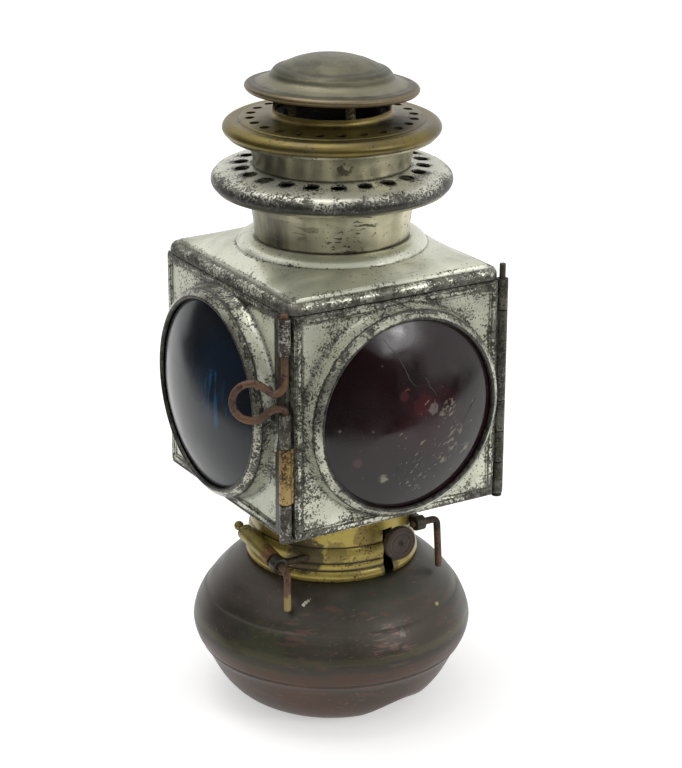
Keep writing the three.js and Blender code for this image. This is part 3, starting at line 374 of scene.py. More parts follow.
metalLooks = {
    "sidePlate": dict(),
    "doorPlate": dict(seed=0.37, second=(0.54, 0.55, 0.43), bareAmount=0.4),
    # the roof's main colour is lighter than the side plates': partly the plate's own tone, partly the top light's
    # highlight painted in
    "roofPlate": dict(seed=0.81, main=(0.84, 0.84, 0.7), second=(0.48, 0.49, 0.38), bare=(0.07, 0.065, 0.05),
        metallic=(0.6, 0.6), roughness=(0.3, 0.45), bareAmount=0.24, zonePull=0.42, speckle=0.15,
        streakScale=26.0, bloomScale=22.0, bloomContrast=0.1,
        marks=[((-47.2, -46, 178.5), 4, (0.2, 0.19, 0.16), 0.6)]),
    "lowerPlate": dict(seed=1.3, main=(0.62, 0.61, 0.5), second=(0.7, 0.69, 0.58), bareAmount=0.32,
        # the near-black band over the lower half of the rim is painted shade on its underside
        patchScale=110.0, zonePull=0.45, bands=[(205.0, 213.1, (0.035, 0.033, 0.028), 0.88)]),
    # on the neck and drum the strong upright streaks (stretch, streakShade) are painted reflections: light and dark
    # vertical zones
    "satinNickel": dict(seed=1.9, main=(0.5, 0.47, 0.33), second=(0.3, 0.285, 0.19), metallic=(0.62, 0.6),
        roughness=(0.36, 0.45), rimShade=0.35, bareAmount=0.24, edgePull=0.25, speckle=0.1,
        stretch=(1, 1, 0.08), streakScale=42.0, streakShade=3.2, scratchAmount=0.55, bloomScale=60.0,
        streakRelief=0.0, bands=[(189.4, 190.9, (0.03, 0.027, 0.02), 0.9),
        (217.2, 218.3, (0.03, 0.027, 0.02), 0.8)],
        flecks=[((-4, -30.2, 200.4), 5, (1, 1, 4), 160.0, 0.5, (0.03, 0.027, 0.02), 0.85),
        ((-24.7, -18.6, 202.4), 7, (1, 1, 5), 120.0, 0.53, (0.1, 0.09, 0.06), 0.5),
        ((-11, -27.5, 193.6), 7, (1, 1, 3), 260.0, 0.55, (0.05, 0.04, 0.025), 0.8),
        ((-12, -29, 222.5), 3, (1, 1, 1), 260.0, 0.46, (0.05, 0.045, 0.03), 0.8),
        ((20, -23, 199), 10, (1, 1, 2), 240.0, 0.6, (0.05, 0.045, 0.03), 0.7)]),
    "capNickel": dict(seed=2.4, main=(0.105, 0.1, 0.06), second=(0.165, 0.155, 0.1), bare=(0.07, 0.065, 0.045),
        bareSecond=(0.12, 0.11, 0.08), metallic=(0.7, 0.6), roughness=(0.42, 0.5), rimShade=0.4, bareAmount=0.3,
        edgePull=0.1, speckle=0.1, stretch=(1, 1, 10), streakScale=24.0, streakShade=0.2, bloomScale=50.0,
        streakRelief=0.05, roughSpread=0.2, upward=(0.0368, 0.0104, 1),
        bands=[(243.5, 247.7, (0.19, 0.135, 0.07), 0.75), (247.8, 248.4, (0.035, 0.028, 0.018), 0.7),
        (248.6, 250.6, (0.24, 0.225, 0.15), 0.6), (250.8, 252.2, (0.07, 0.065, 0.045), 0.5),
        (252.9, 254.8, (0.04, 0.037, 0.027), 0.6)],
        flecks=[((0, 0, 250.5), 36, (1, 1, 3), 60.0, 0.55, (0.05, 0.047, 0.033), 0.45)]),
    "ventBrass": dict(seed=3.1, main=(0.2, 0.155, 0.04), second=(0.115, 0.09, 0.038), bare=(0.06, 0.045, 0.025),
        bareSecond=(0.12, 0.09, 0.05), rim=(0.15, 0.12, 0.06), metallic=(0.8, 0.7), roughness=(0.36, 0.5),
        rimShade=0.4, bareAmount=0.3, edgePull=0.12, speckle=0.15, stretch=(1, 1, 14), streakScale=26.0,
        streakShade=0.2, streakRelief=0.05, bands=[(236.8, 240.0, (0.42, 0.33, 0.1), 0.6)],
        marks=[((13, -22, 236.4), 12, (0.1, 0.08, 0.05), 0.6), ((2, -25, 236), 7, (0.12, 0.1, 0.06), 0.5),
        ((-20, -6, 238), 6, (0.5, 0.4, 0.16), 0.4)],
        flecks=[((12, -20, 237.5), 9, (1, 1, 1), 200.0, 0.48, (0.05, 0.045, 0.035), 0.85),
        ((-8, -22, 237.5), 7, (1, 1, 2), 260.0, 0.56, (0.04, 0.035, 0.025), 0.8)]),
    "postBrass": dict(seed=3.6, main=(0.2, 0.15, 0.05), second=(0.1, 0.075, 0.03), bare=(0.035, 0.028, 0.018),
        bareSecond=(0.07, 0.055, 0.03), metallic=(0.8, 0.6), roughness=(0.4, 0.55), rimShade=0.4,
        bareAmount=0.58, patchScale=260.0, edgePull=0.2),
    "collarBrass": dict(seed=4.2, main=(0.42, 0.33, 0.075), second=(0.3, 0.23, 0.055), bare=(0.07, 0.045, 0.02),
        bareSecond=(0.15, 0.09, 0.04), rim=(0.2, 0.14, 0.05), roughness=(0.36, 0.55), grimeAndShadeAmount=0.9,
        bareAmount=0.3, edgePull=0.18, speckle=0.25, stretch=(1, 1, 16), streakScale=30.0, bloomContrast=0.3,
        streakRelief=0.05, marks=[((7, -33, 63), 5, (0.05, 0.035, 0.02), 0.7),
        ((-25, -22, 70), 8, (0.035, 0.026, 0.018), 0.85), ((-4, -32, 77), 5, (0.12, 0.07, 0.025), 0.55),
        ((-15, -29, 71), 5, (0.07, 0.048, 0.02), 0.5)]),
    "sleeveBrass": dict(seed=5.0, main=(0.33, 0.27, 0.065), second=(0.22, 0.17, 0.045),
        bare=(0.09, 0.055, 0.025), bareSecond=(0.12, 0.07, 0.03), rim=(0.16, 0.12, 0.04), roughness=(0.38, 0.5),
        bareAmount=0.3, edgePull=0.2, speckle=0.2, stretch=(1, 6, 1), streakScale=60.0, streakShade=0.25,
        streakRelief=0.05, marks=[((-37, -17, 70), 5, (0.2, 0.09, 0.035), 0.7),
        ((-37, -19, 69), 3.4, (0.05, 0.04, 0.03), 0.8)]),
    "stainedBrass": dict(seed=5.3, main=(0.14, 0.1, 0.035), second=(0.05, 0.038, 0.02),
        bare=(0.025, 0.02, 0.014), bareSecond=(0.05, 0.036, 0.02), rim=(0.09, 0.065, 0.03),
        roughness=(0.42, 0.55), bareAmount=0.5, patchScale=180.0, edgePull=0.2),
    "barrelBrass": dict(seed=5.6, main=(0.43, 0.3, 0.1), second=(0.34, 0.23, 0.08), bare=(0.07, 0.045, 0.02),
        bareSecond=(0.1, 0.06, 0.03), rim=(0.22, 0.14, 0.05), roughness=(0.42, 0.55), bareAmount=0.36,
        patchScale=200.0, edgePull=0.3, speckle=0.1, streakScale=200.0),
    "barrelNickel": dict(seed=6.1, main=(0.5, 0.49, 0.42), second=(0.25, 0.24, 0.2), bare=(0.045, 0.036, 0.028),
        bareSecond=(0.09, 0.08, 0.065), rim=(0.16, 0.15, 0.12), roughness=(0.34, 0.5), bareAmount=0.5,
        patchScale=260.0, edgePull=0.3, zonePull=0.8),
    "hingeNickel": dict(seed=6.5, main=(0.13, 0.125, 0.1), second=(0.07, 0.065, 0.052),
        bare=(0.03, 0.026, 0.02), bareSecond=(0.06, 0.055, 0.04), rim=(0.08, 0.075, 0.06), roughness=(0.4, 0.5),
        bareAmount=0.45, patchScale=220.0, edgePull=0.2, zonePull=0.3),
    "bezelDark": dict(seed=7.7, main=(0.5, 0.5, 0.4), second=(0.3, 0.295, 0.235), bare=(0.04, 0.037, 0.03),
        bareSecond=(0.1, 0.095, 0.08), rim=(0.25, 0.245, 0.2), metallic=(0.85, 0.7), roughness=(0.28, 0.4),
        bareAmount=0.4, patchScale=150.0, zonePull=0.5, speckle=0.3, bloomScale=110.0),
    "fountShoulder": dict(seed=8.3, main=(0.05, 0.05, 0.037), second=(0.062, 0.05, 0.04),
        bare=(0.12, 0.065, 0.048), bareSecond=(0.085, 0.055, 0.04), rim=(0.08, 0.055, 0.042),
        scratch=(0.2, 0.14, 0.1), metallic=(0.55, 0.6), roughness=(0.4, 0.45), rimShade=0.3, bareAmount=0.24,
        patchScale=45.0, grainScale=500.0, edgePull=0.1, stretch=(1, 1, 2.5), streakScale=50.0, streakShade=0.9,
        bump=0.35, bloomScale=30.0, bloomContrast=0.14, roughSpread=0.3, flakeRelief=0.1, scratchScale=40.0,
        pitShade=0.4, ragged=0.8, bands=[(18.0, 30.5, (0.085, 0.047, 0.033), 0.75),
        (30.5, 33.4, (0.035, 0.033, 0.028), 0.5), (34.0, 36.6, (0.1, 0.095, 0.05), 0.5)],
        marks=[((50, -20, 38), 14, (0.085, 0.08, 0.042), 0.4), ((-46, -25, 34), 12, (0.08, 0.085, 0.04), 0.45),
        ((22.2, -43.5, 47), 0.9, (0.45, 0.33, 0.1), 0.8)],
        # the first two flecks, reddish streaks at heights 39 and 41, are painted highlights
        flecks=[((-38, -38, 39), 15, (1, 1, 6), 120.0, 0.56, (0.16, 0.08, 0.06), 0.45),
        ((-7, -52, 41), 8, (1, 1, 8), 130.0, 0.54, (0.2, 0.11, 0.095), 0.5),
        ((-23, -38.6, 51.5), 5, (1, 1, 1.5), 170.0, 0.52, (0.12, 0.058, 0.042), 0.5),
        ((-3, -55.2, 30), 9, (1, 1, 7), 120.0, 0.55, (0.2, 0.12, 0.1), 0.5),
        # four white dots in a row: a real scratch, painted with its bright glint
        ((-30.4, -30, 53.9), 0.75, (1, 1, 1), 900.0, 0.35, (0.7, 0.68, 0.6), 0.85),
        ((-29.4, -30, 54.6), 0.75, (1, 1, 1), 900.0, 0.35, (0.7, 0.68, 0.6), 0.85),
        ((-28.4, -30.1, 55.3), 0.75, (1, 1, 1), 900.0, 0.35, (0.7, 0.68, 0.6), 0.85),
        ((-27.5, -30.1, 56), 0.75, (1, 1, 1), 900.0, 0.35, (0.7, 0.68, 0.6), 0.85),
        ((1, -51.6, 43.5), 2.4, (5, 1, 1), 220.0, 0.52, (0.2, 0.2, 0.17), 0.4),
        ((0, -40, 48), 40, (1, 1, 3), 75.0, 0.6, (0.08, 0.055, 0.042), 0.35),
        ((14, -48, 26), 40, (1, 1, 5), 80.0, 0.58, (0.11, 0.06, 0.044), 0.35)]),
    "fountBowl": dict(seed=9.1, main=(0.085, 0.047, 0.033), second=(0.06, 0.045, 0.033),
        bare=(0.14, 0.075, 0.052), bareSecond=(0.1, 0.055, 0.04), rim=(0.1, 0.058, 0.042),
        scratch=(0.26, 0.17, 0.13), roughness=(0.42, 0.45), rimShade=0.3, grimeAndShadeAmount=0.3, bareAmount=0.26,
        patchScale=50.0, grainScale=500.0, edgePull=0.1, stretch=(1, 1, 3), streakScale=50.0, streakShade=0.9,
        scratchAmount=0.4, bump=0.35, flakeRelief=0.1, scratchScale=40.0, pitShade=0.4,
        flecks=[((0, -40, 10), 60, (1, 1, 4), 70.0, 0.57, (0.13, 0.068, 0.048), 0.4)]),
    "wireRust": dict(seed=10.2, main=(0.09, 0.05, 0.032), second=(0.16, 0.085, 0.045),
        bare=(0.045, 0.033, 0.026), bareSecond=(0.085, 0.055, 0.04), rim=(0.1, 0.06, 0.04),
        scratch=(0.12, 0.08, 0.055), metallic=(0.35, 0.6), roughness=(0.6, 0.5), bareAmount=0.42,
        patchScale=200.0, edgePull=0.0, bump=0.6, bloomScale=140.0,
        marks=[((-36.9, -29.3, 55), 4.6, (0.42, 0.33, 0.12), 0.75),
        ((30.2, -28.8, 75.8), 5, (0.03, 0.026, 0.022), 0.9)]),
    "knobBrown": dict(seed=11.0, main=(0.045, 0.03, 0.022), second=(0.065, 0.043, 0.033),
        bare=(0.03, 0.022, 0.017), rim=(0.05, 0.035, 0.027), scratch=(0.1, 0.07, 0.055), metallic=(0.5, 0.5),
        roughness=(0.5, 0.55), bareAmount=0.3, patchScale=160.0, edgePull=0.05, scratchAmount=0.1,
        bloomScale=90.0),
    "darkSteel": dict(seed=12.4, main=(0.05, 0.046, 0.04), second=(0.08, 0.07, 0.055), bare=(0.1, 0.06, 0.035),
        bareSecond=(0.06, 0.045, 0.035), rim=(0.07, 0.055, 0.04), scratch=(0.14, 0.13, 0.11),
        metallic=(0.7, 0.4), roughness=(0.45, 0.6), bareAmount=0.35, patchScale=220.0, edgePull=-0.1),
    "soot": dict(seed=13.3, main=(0.022, 0.02, 0.018), second=(0.05, 0.045, 0.038), bare=(0.08, 0.07, 0.055),
        rim=(0.04, 0.035, 0.03), metallic=(0.3, 0.6), roughness=(0.75, 0.6), bareAmount=0.3),
    "burnerBrass": dict(seed=14.1, main=(0.36, 0.26, 0.08), second=(0.24, 0.17, 0.06), bare=(0.07, 0.05, 0.025),
        bareSecond=(0.1, 0.07, 0.035), rim=(0.18, 0.13, 0.05), roughness=(0.38, 0.5), bareAmount=0.28),
    "reflectorSilver": dict(seed=15.2, main=(0.8, 0.79, 0.73), second=(0.68, 0.66, 0.58),
        bare=(0.25, 0.22, 0.16), metallic=(1.0, 0.8), roughness=(0.12, 0.4), bareAmount=0.2, scratchAmount=0.4),
}
metals = {name: makeAgedMetal(name, {**plateLook, **look}) for name, look in metalLooks.items()}


def makeGlass(name, look):
    material, tree, shader, home = newMaterial(name)
    tint = useEffect(tree, "bloom", home, 26.0, 0.2)["Mask"]
    colour = blend(tree, tint, rgba(look["main"]), rgba(look["second"]))
    for centre, radius, paint, strength in look.get("marks", []):
        mask = times(tree, spotMask(tree, home, centre, radius, 0.35), strength)
        colour = blend(tree, mask, colour, rgba(paint))
    if "ribs" in look:   # light caught in the moulded ribs behind the glass
        centre, radius, stretch, scale, paint, strength = look["ribs"]
        ribs = useEffect(tree, "streaks", home, stretch, scale)["Mask"]
        mask = times(tree, spotMask(tree, home, centre, radius, 0.15), fade(tree, ribs, 0.5, 0.68))
        colour = blend(tree, times(tree, mask, strength), colour, rgba(paint))
    colour = addFlecks(tree, colour, home, look.get("flecks", []), 0.025, (0, 0.7, 0))
    pits = useEffect(tree, "pitting", home, *look.get("dirtGrain", (300.0, 0.12)))
    dirt = times(tree, pits["Pits"], look["dirt"])
    film = useEffect(tree, "bloom", home, 60.0, 0.12)["Mask"]
    rough = calc(tree, "MULTIPLY_ADD", film, look["filmRoughness"], look["roughness"])
    link(tree, shader, "Base Color", blend(tree, dirt, colour, rgba((0.25, 0.22, 0.17))))
    link(tree, shader, "Roughness", calc(tree, "MULTIPLY_ADD", dirt, 0.4, rough))
    addRelief(tree, shader, 0.08, pits["Height"])
    shader["Transmission Weight"].default_value = look["transmission"]
    shader["IOR"].default_value = look["index"]
    return material


glassLooks = {
    "redGlass": dict(main=(0.013, 0.006, 0.007), second=(0.022, 0.008, 0.01), roughness=0.1, transmission=0.3,
        index=1.45, dirt=0.35, dirtGrain=(190.0, 0.16), filmRoughness=0.16,
        # marks: (6, 133), (1.5, 140) and (-6.5, 145) are a painted red glow and red glints of light through the lens,
        # (6, 138) is a painted pale glint; the cream spots are dirt and (-24, 121) is a bubble
        marks=[((6, -62, 133), 16, (0.04, 0.009, 0.012), 0.6), ((1.5, -62.8, 140), 4.5, (0.1, 0.014, 0.018), 0.5),
        ((-13.6, -61.3, 112.4), 2.8, (0.34, 0.31, 0.25), 0.8), ((-14.8, -61, 109.8), 2.4, (0.34, 0.31, 0.25), 0.75),
        ((-24, -58.6, 121), 2.0, (0.1, 0.045, 0.04), 0.6), ((-6.5, -62.5, 145), 2.0, (0.12, 0.03, 0.03), 0.5),
        ((6, -62.6, 138), 2.4, (0.3, 0.28, 0.25), 0.5)],
        flecks=[((12, -61, 127), 17, (1, 1, 2.6), 230.0, 0.655, (0.3, 0.26, 0.18), 0.75),
        ((13, -61, 136), 4.5, (1, 1, 1.6), 420.0, 0.52, (0.26, 0.23, 0.17), 0.7),
        ((17, -60.6, 127), 4, (1, 1, 2.2), 380.0, 0.53, (0.26, 0.23, 0.17), 0.6),
        ((13, -60.8, 119), 5, (1, 1, 2.6), 330.0, 0.56, (0.28, 0.25, 0.19), 0.65),
        ((-1, -61.7, 114.5), 8, (1, 1, 2.6), 240.0, 0.54, (0.002, 0.002, 0.002), 0.95),
        ((-1, -61.7, 114), 8, (1, 1, 3), 420.0, 0.63, (0.4, 0.37, 0.33), 0.6),
        # the red specks round (2, 140) are painted red glints
        ((2, -62.8, 140), 13, (1, 1, 1), 330.0, 0.64, (0.2, 0.045, 0.04), 0.7),
        ((4, -61.4, 108), 7, (1, 1, 2.6), 300.0, 0.64, (0.3, 0.26, 0.19), 0.6)]),
    "blueGlass": dict(main=(0.006, 0.008, 0.012), second=(0.012, 0.015, 0.02), roughness=0.17, transmission=0.3,
        # the lighter blue mark is painted light coming through the glass, by the ribs' caught light
        index=1.42, dirt=0.12, filmRoughness=0.1, marks=[((-59, -14, 148), 16, (0.008, 0.022, 0.045), 0.5)],
        ribs=((-60, -13, 138), 12, (1, 1, 0.05), 520.0, (0.004, 0.09, 0.22), 0.9)),
    "clearGlass": dict(main=(0.8, 0.85, 0.8), second=(0.72, 0.78, 0.74), roughness=0.05, transmission=1.0,
        index=1.5, dirt=0.3, filmRoughness=0.12),
}
glasses = {name: makeGlass(name, look) for name, look in glassLooks.items()}


def makeWickCotton():
    material, tree, shader, home = newMaterial("wickCotton")
    threads = times(tree, *(
        put(tree, "TexWave", {"Vector": home, "Scale": scale, "Distortion": bend}, bands_direction=way).outputs["Fac"]
        for scale, bend, way in ((420.0, 2.0, "Z"), (380.0, 1.5, "Y"))))
    height = put(tree, "SeparateXYZ", {0: home}).outputs["Z"]
    colour = blend(tree, threads, (0.34, 0.29, 0.2, 1), (0.6, 0.55, 0.43, 1))
    colour = blend(tree, times(tree, fade(tree, height, 0.1, 0.05), 0.5), colour, (0.3, 0.22, 0.1, 1))   # soaked
    colour = blend(tree, fade(tree, height, 0.1045, 0.1085), colour, (0.012, 0.01, 0.009, 1))   # burnt
    link(tree, shader, "Base Color", colour)
    addRelief(tree, shader, 0.6, threads)
    shader["Roughness"].default_value = 0.95
    return material


surfaces = {**metals, **glasses, "wickCotton": makeWickCotton()}
print("materials ready:", len(surfaces))


# mesh tools; every one works in millimetres and gives (points, faces)

def bentPoint(start, bend, end, t):   # a point on the curve from start to end that the bend pulls on
    return start * (1 - t) ** 2 + bend * 2 * t * (1 - t) + end * t * t


def smoothCorners(points, reach, cuts=3):
    result = [points[0]]
    for before, here, after in zip(points, points[1:], points[2:]):
        if len({p[2] for p in (before, here, after) if len(p) > 2}) > 1 or here[0] == 0:
            result.append(here)
            continue
        a, b, c = (Vector(p[:2]) for p in (before, here, after))
        back, ahead = a - b, c - b
        start = b + back.normalized() * min(reach, back.length * 0.45)
        end = b + ahead.normalized() * min(reach, ahead.length * 0.45)
        result += [(*bentPoint(start, b, end, k / cuts), *here[2:]) for k in range(cuts + 1)]
    return result + [points[-1]]


def thickened(points, wall):   # the sheet's other face lies to the left of the way the points run
    ways = [(Vector(b[:2]) - Vector(a[:2])).normalized() for a, b in zip(points, points[1:])]
    normals = [Vector((-w.y, w.x)) for w in ways]
    inner = []
    for k, point in enumerate(points):
        before, after = normals[max(k - 1, 0)], normals[min(k, len(normals) - 1)]
        way = (before + after).normalized()
        shift = way * (wall / max(way.dot(after), 0.3))
        inner.append((0 if point[0] == 0 else point[0] + shift.x, point[1] + shift.y, *point[2:]))
    return list(points) + inner[::-1]


def loft(rings, closed=True):
    count, total = len(rings[0]), len(rings)
    points = [p for ring in rings for p in ring]
    faces = []
    for a in range(total if closed else total - 1):
        low, high = a * count, (a + 1) % total * count
        faces += [(low + i, low + (i + 1) % count, high + (i + 1) % count, high + i) for i in range(count)]
    return points, faces


def lathe(profile, steps=128, where=lambda x, y, z: (x, y, z), centre=(0, 0), closed=None):
    turns = [2 * math.pi * i / steps for i in range(steps)]
    rings = [[where(centre[0] + r * math.cos(a), centre[1] + r * math.sin(a), z) for a in turns]
             for r, z, *_ in profile]
    return loft(rings, profile[0][0] > 0 if closed is None else closed)


def tube(path, radius, sides=20, nose=0.5):   # a round wire with softened ends
    path = [Vector(p) for p in path]
    tangents = [(path[min(k + 1, len(path) - 1)] - path[max(k - 1, 0)]).normalized() for k in range(len(path))]
    across = tangents[0].orthogonal().normalized()
    ends = [(0, 0.0), (0, (radius - nose) * 0.6), (0.08, radius - nose * 0.45), (0.5, radius - nose * 0.06)]
    rings = []
    for k, (spot, along) in enumerate(zip(path, tangents)):
        across = (across - along * across.dot(along)).normalized()
        other = along.cross(across)
        turns = [2 * math.pi * i / sides for i in range(sides)]
        ring = lambda centre, r: [tuple(centre + (across * math.cos(a) + other * math.sin(a)) * r) for a in turns]
        if k == 0:
            rings += [ring(spot + along * nose * step, r) for step, r in ends]
        elif k == len(path) - 1:
            rings += [ring(spot - along * nose * step, r) for step, r in ends[::-1]]
        else:
            rings.append(ring(spot, radius))
    return loft(rings, closed=False)


def softPath(corners, reach, cuts=10, pieces=8):   # straight runs with rounded corners
    corners = [Vector(c) for c in corners]
    path = [corners[0]]
    for a, b, c in zip(corners, corners[1:], corners[2:]):
        start, end = b + (a - b).normalized() * reach, b + (c - b).normalized() * reach
        path += [path[-1].lerp(start, k / pieces) for k in range(1, pieces)]
        path += [bentPoint(start, b, end, k / cuts) for k in range(cuts + 1)]
    return path + [path[-1].lerp(corners[-1], k / pieces) for k in range(1, pieces + 1)]


def curveThrough(spots, steps):   # an even smooth curve through the spots
    spots = [Vector(s) for s in spots]
    knots = [0.0]
    for a, b in zip(spots, spots[1:]):
        knots.append(knots[-1] + max((b - a).length, 1e-6) ** 0.5)
    spots = [spots[0] * 2 - spots[1]] + spots + [spots[-1] * 2 - spots[-2]]
    knots = [-knots[1]] + knots + [2 * knots[-1] - knots[-2]]
    path = []
    for k in range(1, len(spots) - 2):
        t0, t1, t2, t3 = knots[k - 1:k + 3]
        p0, p1, p2, p3 = spots[k - 1:k + 3]
        pieces = max(2, round(steps * (t2 - t1) / (knots[-2] - knots[1])))
        for i in range(pieces):
            t = t1 + (t2 - t1) * i / pieces
            a1 = p0.lerp(p1, (t - t0) / (t1 - t0))
            a2 = p1.lerp(p2, (t - t1) / (t2 - t1))
            a3 = p2.lerp(p3, (t - t2) / (t3 - t2))
            b1, b2 = a1.lerp(a2, (t - t0) / (t2 - t0)), a2.lerp(a3, (t - t1) / (t3 - t1))
            path.append(b1.lerp(b2, (t - t1) / (t2 - t1)))
    return path + [spots[-2]]


def softBox(x0, x1, y0, y1, z0, z1, edge=0.15, cuts=2):
    work = bmesh.new()
    bmesh.ops.create_cube(work, size=1)
    for v in work.verts:
        v.co = [(low + high) / 2 + c * (high - low) for c, low, high in zip(v.co, (x0, y0, z0), (x1, y1, z1))]
    if edge:
        bmesh.ops.bevel(work, geom=list(work.edges), offset=edge, segments=cuts, profile=0.5,
                        affect="EDGES", clamp_overlap=True)
    work.verts.index_update()
    result = [tuple(v.co) for v in work.verts], [tuple(v.index for v in f.verts) for f in work.faces]
    work.free()
    return result


def moved(part, matrix):
    return [tuple(matrix @ Vector(p)) for p in part[0]], part[1]


def combine(parts):
    points, faces = [], []
    for somePoints, someFaces in parts:
        faces += [tuple(i + len(points) for i in face) for face in someFaces]
        points += somePoints
    return points, faces


def rawObject(name, part):
    mesh = bpy.data.meshes.new(name)
    mesh.from_pydata([Vector(p) * mm for p in part[0]], [], part[1])
    work = bmesh.new()
    work.from_mesh(mesh)
    bmesh.ops.remove_doubles(work, verts=work.verts, dist=2e-6)
    bmesh.ops.dissolve_degenerate(work, edges=work.edges, dist=1e-7)
    bmesh.ops.recalc_face_normals(work, faces=work.faces)
    work.to_mesh(mesh)
    work.free()
    obj = bpy.data.objects.new(name, mesh)
    bpy.context.collection.objects.link(obj)
    return obj


def boolean(obj, part, operation="DIFFERENCE"):
    tool = rawObject("cutter", part)
    step = obj.modifiers.new("cut", "BOOLEAN")
    step.object, step.operation, step.solver = tool, operation, "EXACT"
    done = bpy.data.meshes.new_from_object(obj.evaluated_get(bpy.context.evaluated_depsgraph_get()))
    obj.modifiers.clear()
    obj.data = done
    bpy.data.objects.remove(tool)


def pressDents(obj, dents):
    for centre, radius, push in dents:
        centre, push = Vector(centre), Vector(push)
        for v in obj.data.vertices:
            share = (v.co / mm - centre).length / radius
            if share < 1:
                v.co += push * mm * (1 - share * share) ** 2


def ripple(obj, height, size):   # the unevenness of old sheet, always inward
    ways = [v.normal.copy() for v in obj.data.vertices]
    for v, way in zip(obj.data.vertices, ways):
        v.co -= way * mm * height * (0.5 + 0.5 * noise.noise(v.co / (size * mm)))


def writeValues(obj, name, values):
    obj.data.attributes.new(name, "FLOAT", "POINT").data.foreach_set("value", values)


def measureEdges(obj, width=0.9):   # writes how sharply the surface turns: 1 on ridges, -1 in creases
    work = bmesh.new()
    work.from_mesh(obj.data)
    bends = [0.0] * len(work.verts)
    work.verts.index_update()
    for e in work.edges:
        if len(e.link_faces) != 2:
            continue
        span = (e.link_faces[0].calc_center_median() - e.link_faces[1].calc_center_median()).length / mm
        bend = e.calc_face_angle_signed(0.0) / max(span, 0.12) * width
        for v in e.verts:
            if abs(bend) > abs(bends[v.index]):
                bends[v.index] = bend
    bends = [max(-1.0, min(1.0, b)) for b in bends]
    for _ in range(2):
        around = [sum(bends[e.other_vert(v).index] for e in v.link_edges) / max(len(v.link_edges), 1)
                  for v in work.verts]
        bends = [(bends[v.index] + near) / 2 for v, near in zip(work.verts, around)]
    work.free()
    writeValues(obj, "edge", bends)


def makePiece(name, parts, surface, body, stands, slot, cutters=(), dents=(), uneven=None, sharp=38, zone=None):
    if cutters:   # overlapping parts are joined before they are cut
        obj = rawObject(name, parts[0])
        for part in parts[1:]:
            boolean(obj, part, "UNION")
    else:
        obj = rawObject(name, combine(parts))
    for cutter in cutters:
        boolean(obj, cutter)
    pressDents(obj, dents)
    if uneven:
        ripple(obj, *uneven)
    measureEdges(obj)
    if zone:
        writeValues(obj, "zone", [zone(*(v.co / mm)) for v in obj.data.vertices])
    obj.data.materials.clear()
    obj.data.materials.append(surfaces[surface])
    obj.data.shade_smooth()
    obj.data.set_sharp_from_angle(angle=math.radians(sharp))
    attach(obj, body)
    if stands:
        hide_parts(stands)


def drill(radius, low, high, x=0.0, y=0.0, steps=24):
    bit = lathe([(0, low), (radius, low), (radius, high), (0, high)], steps, closed=False)
    return moved(bit, Matrix.Translation((x, y, 0)))


def ringPart(outer, bore, low, high, soft=0.3, steps=48):
    outline = [(bore, low), (outer, low), (outer, high), (bore, high), (bore, low + 0.1)]
    return lathe(smoothCorners(outline, soft, 2), steps)


def turnedTo(part, point, direction):   # a part made along Z now runs along the direction through the point
    turn = Vector((0, 0, 1)).rotation_difference(Vector(direction).normalized()).to_matrix().to_4x4()
    return moved(part, Matrix.Translation(point) @ turn)


# levels shared by the pieces, as in the part's source

sheet, gap = 0.8, 0.3
floorZ, panelZ, roofZ = 89.0, 89.8, 177.4
postZ, capSeatZ = 239.0, 250.4
lensHeight = 44.4


# fount

fountShape = {
    "wall": 1.0,
    "bowl": [(0, 0), (31.5, 0), (36.5, 1.8), (41.5, 5.49), (45.6, 10.4), (48.6, 15.9), (51.0, 20.9), (52.4, 22.8),
             (53.1, 23.5), (53.0, 25.0)],
    "top": [(51.3, 24.4), (53.3, 24.4), (54.1, 25.6), (55.1, 28.4), (55.8, 32.5), (54.57, 37.5), (52.3, 42.3),
            (50.9, 44.4), (50.1, 45.1), (49.5, 46.0), (48, 48.3), (43, 53.8), (38, 57.8), (35.4, 59.5), (24.5, 59.5),
            (16.5, 60.9), (13.6, 60.9)],
    "neck": [(13.6, 60.9), (16.5, 60.9), (16.5, 66.9), (13.6, 66.9), (13.6, 61.2)],
    "dents": [((6, -35, 3), 15, (-0.4, 2.2, 1.5)), ((-17, -37, 51), 9, (0.3, 0.5, -0.7)),
              ((48, -18, 30), 12, (-0.9, 0.3, 0)), ((-49, -14, 42), 12, (0.6, 0.2, -0.3))]}


def makeFount():
    s = fountShape
    for name, outline, reach, node, size in (("fountBowl", s["bowl"], 4.5, "fount_bowl", 22),
                                             ("fountShoulder", s["top"], 2.2, "fount_top", 20)):
        shell = thickened(smoothCorners(outline, reach), s["wall"])
        makePiece(name, [lathe(smoothCorners(shell, 0.15, 2), 144)], name, "fount", node, "fount_skin",
                  dents=s["dents"], uneven=(0.3, size))
    neck = lathe(smoothCorners(s["neck"], 0.4), 72)
    makePiece("fountNeck", [neck], "burnerBrass", "fount", "fount_neck", "aged_brass")


# burner and wick drive

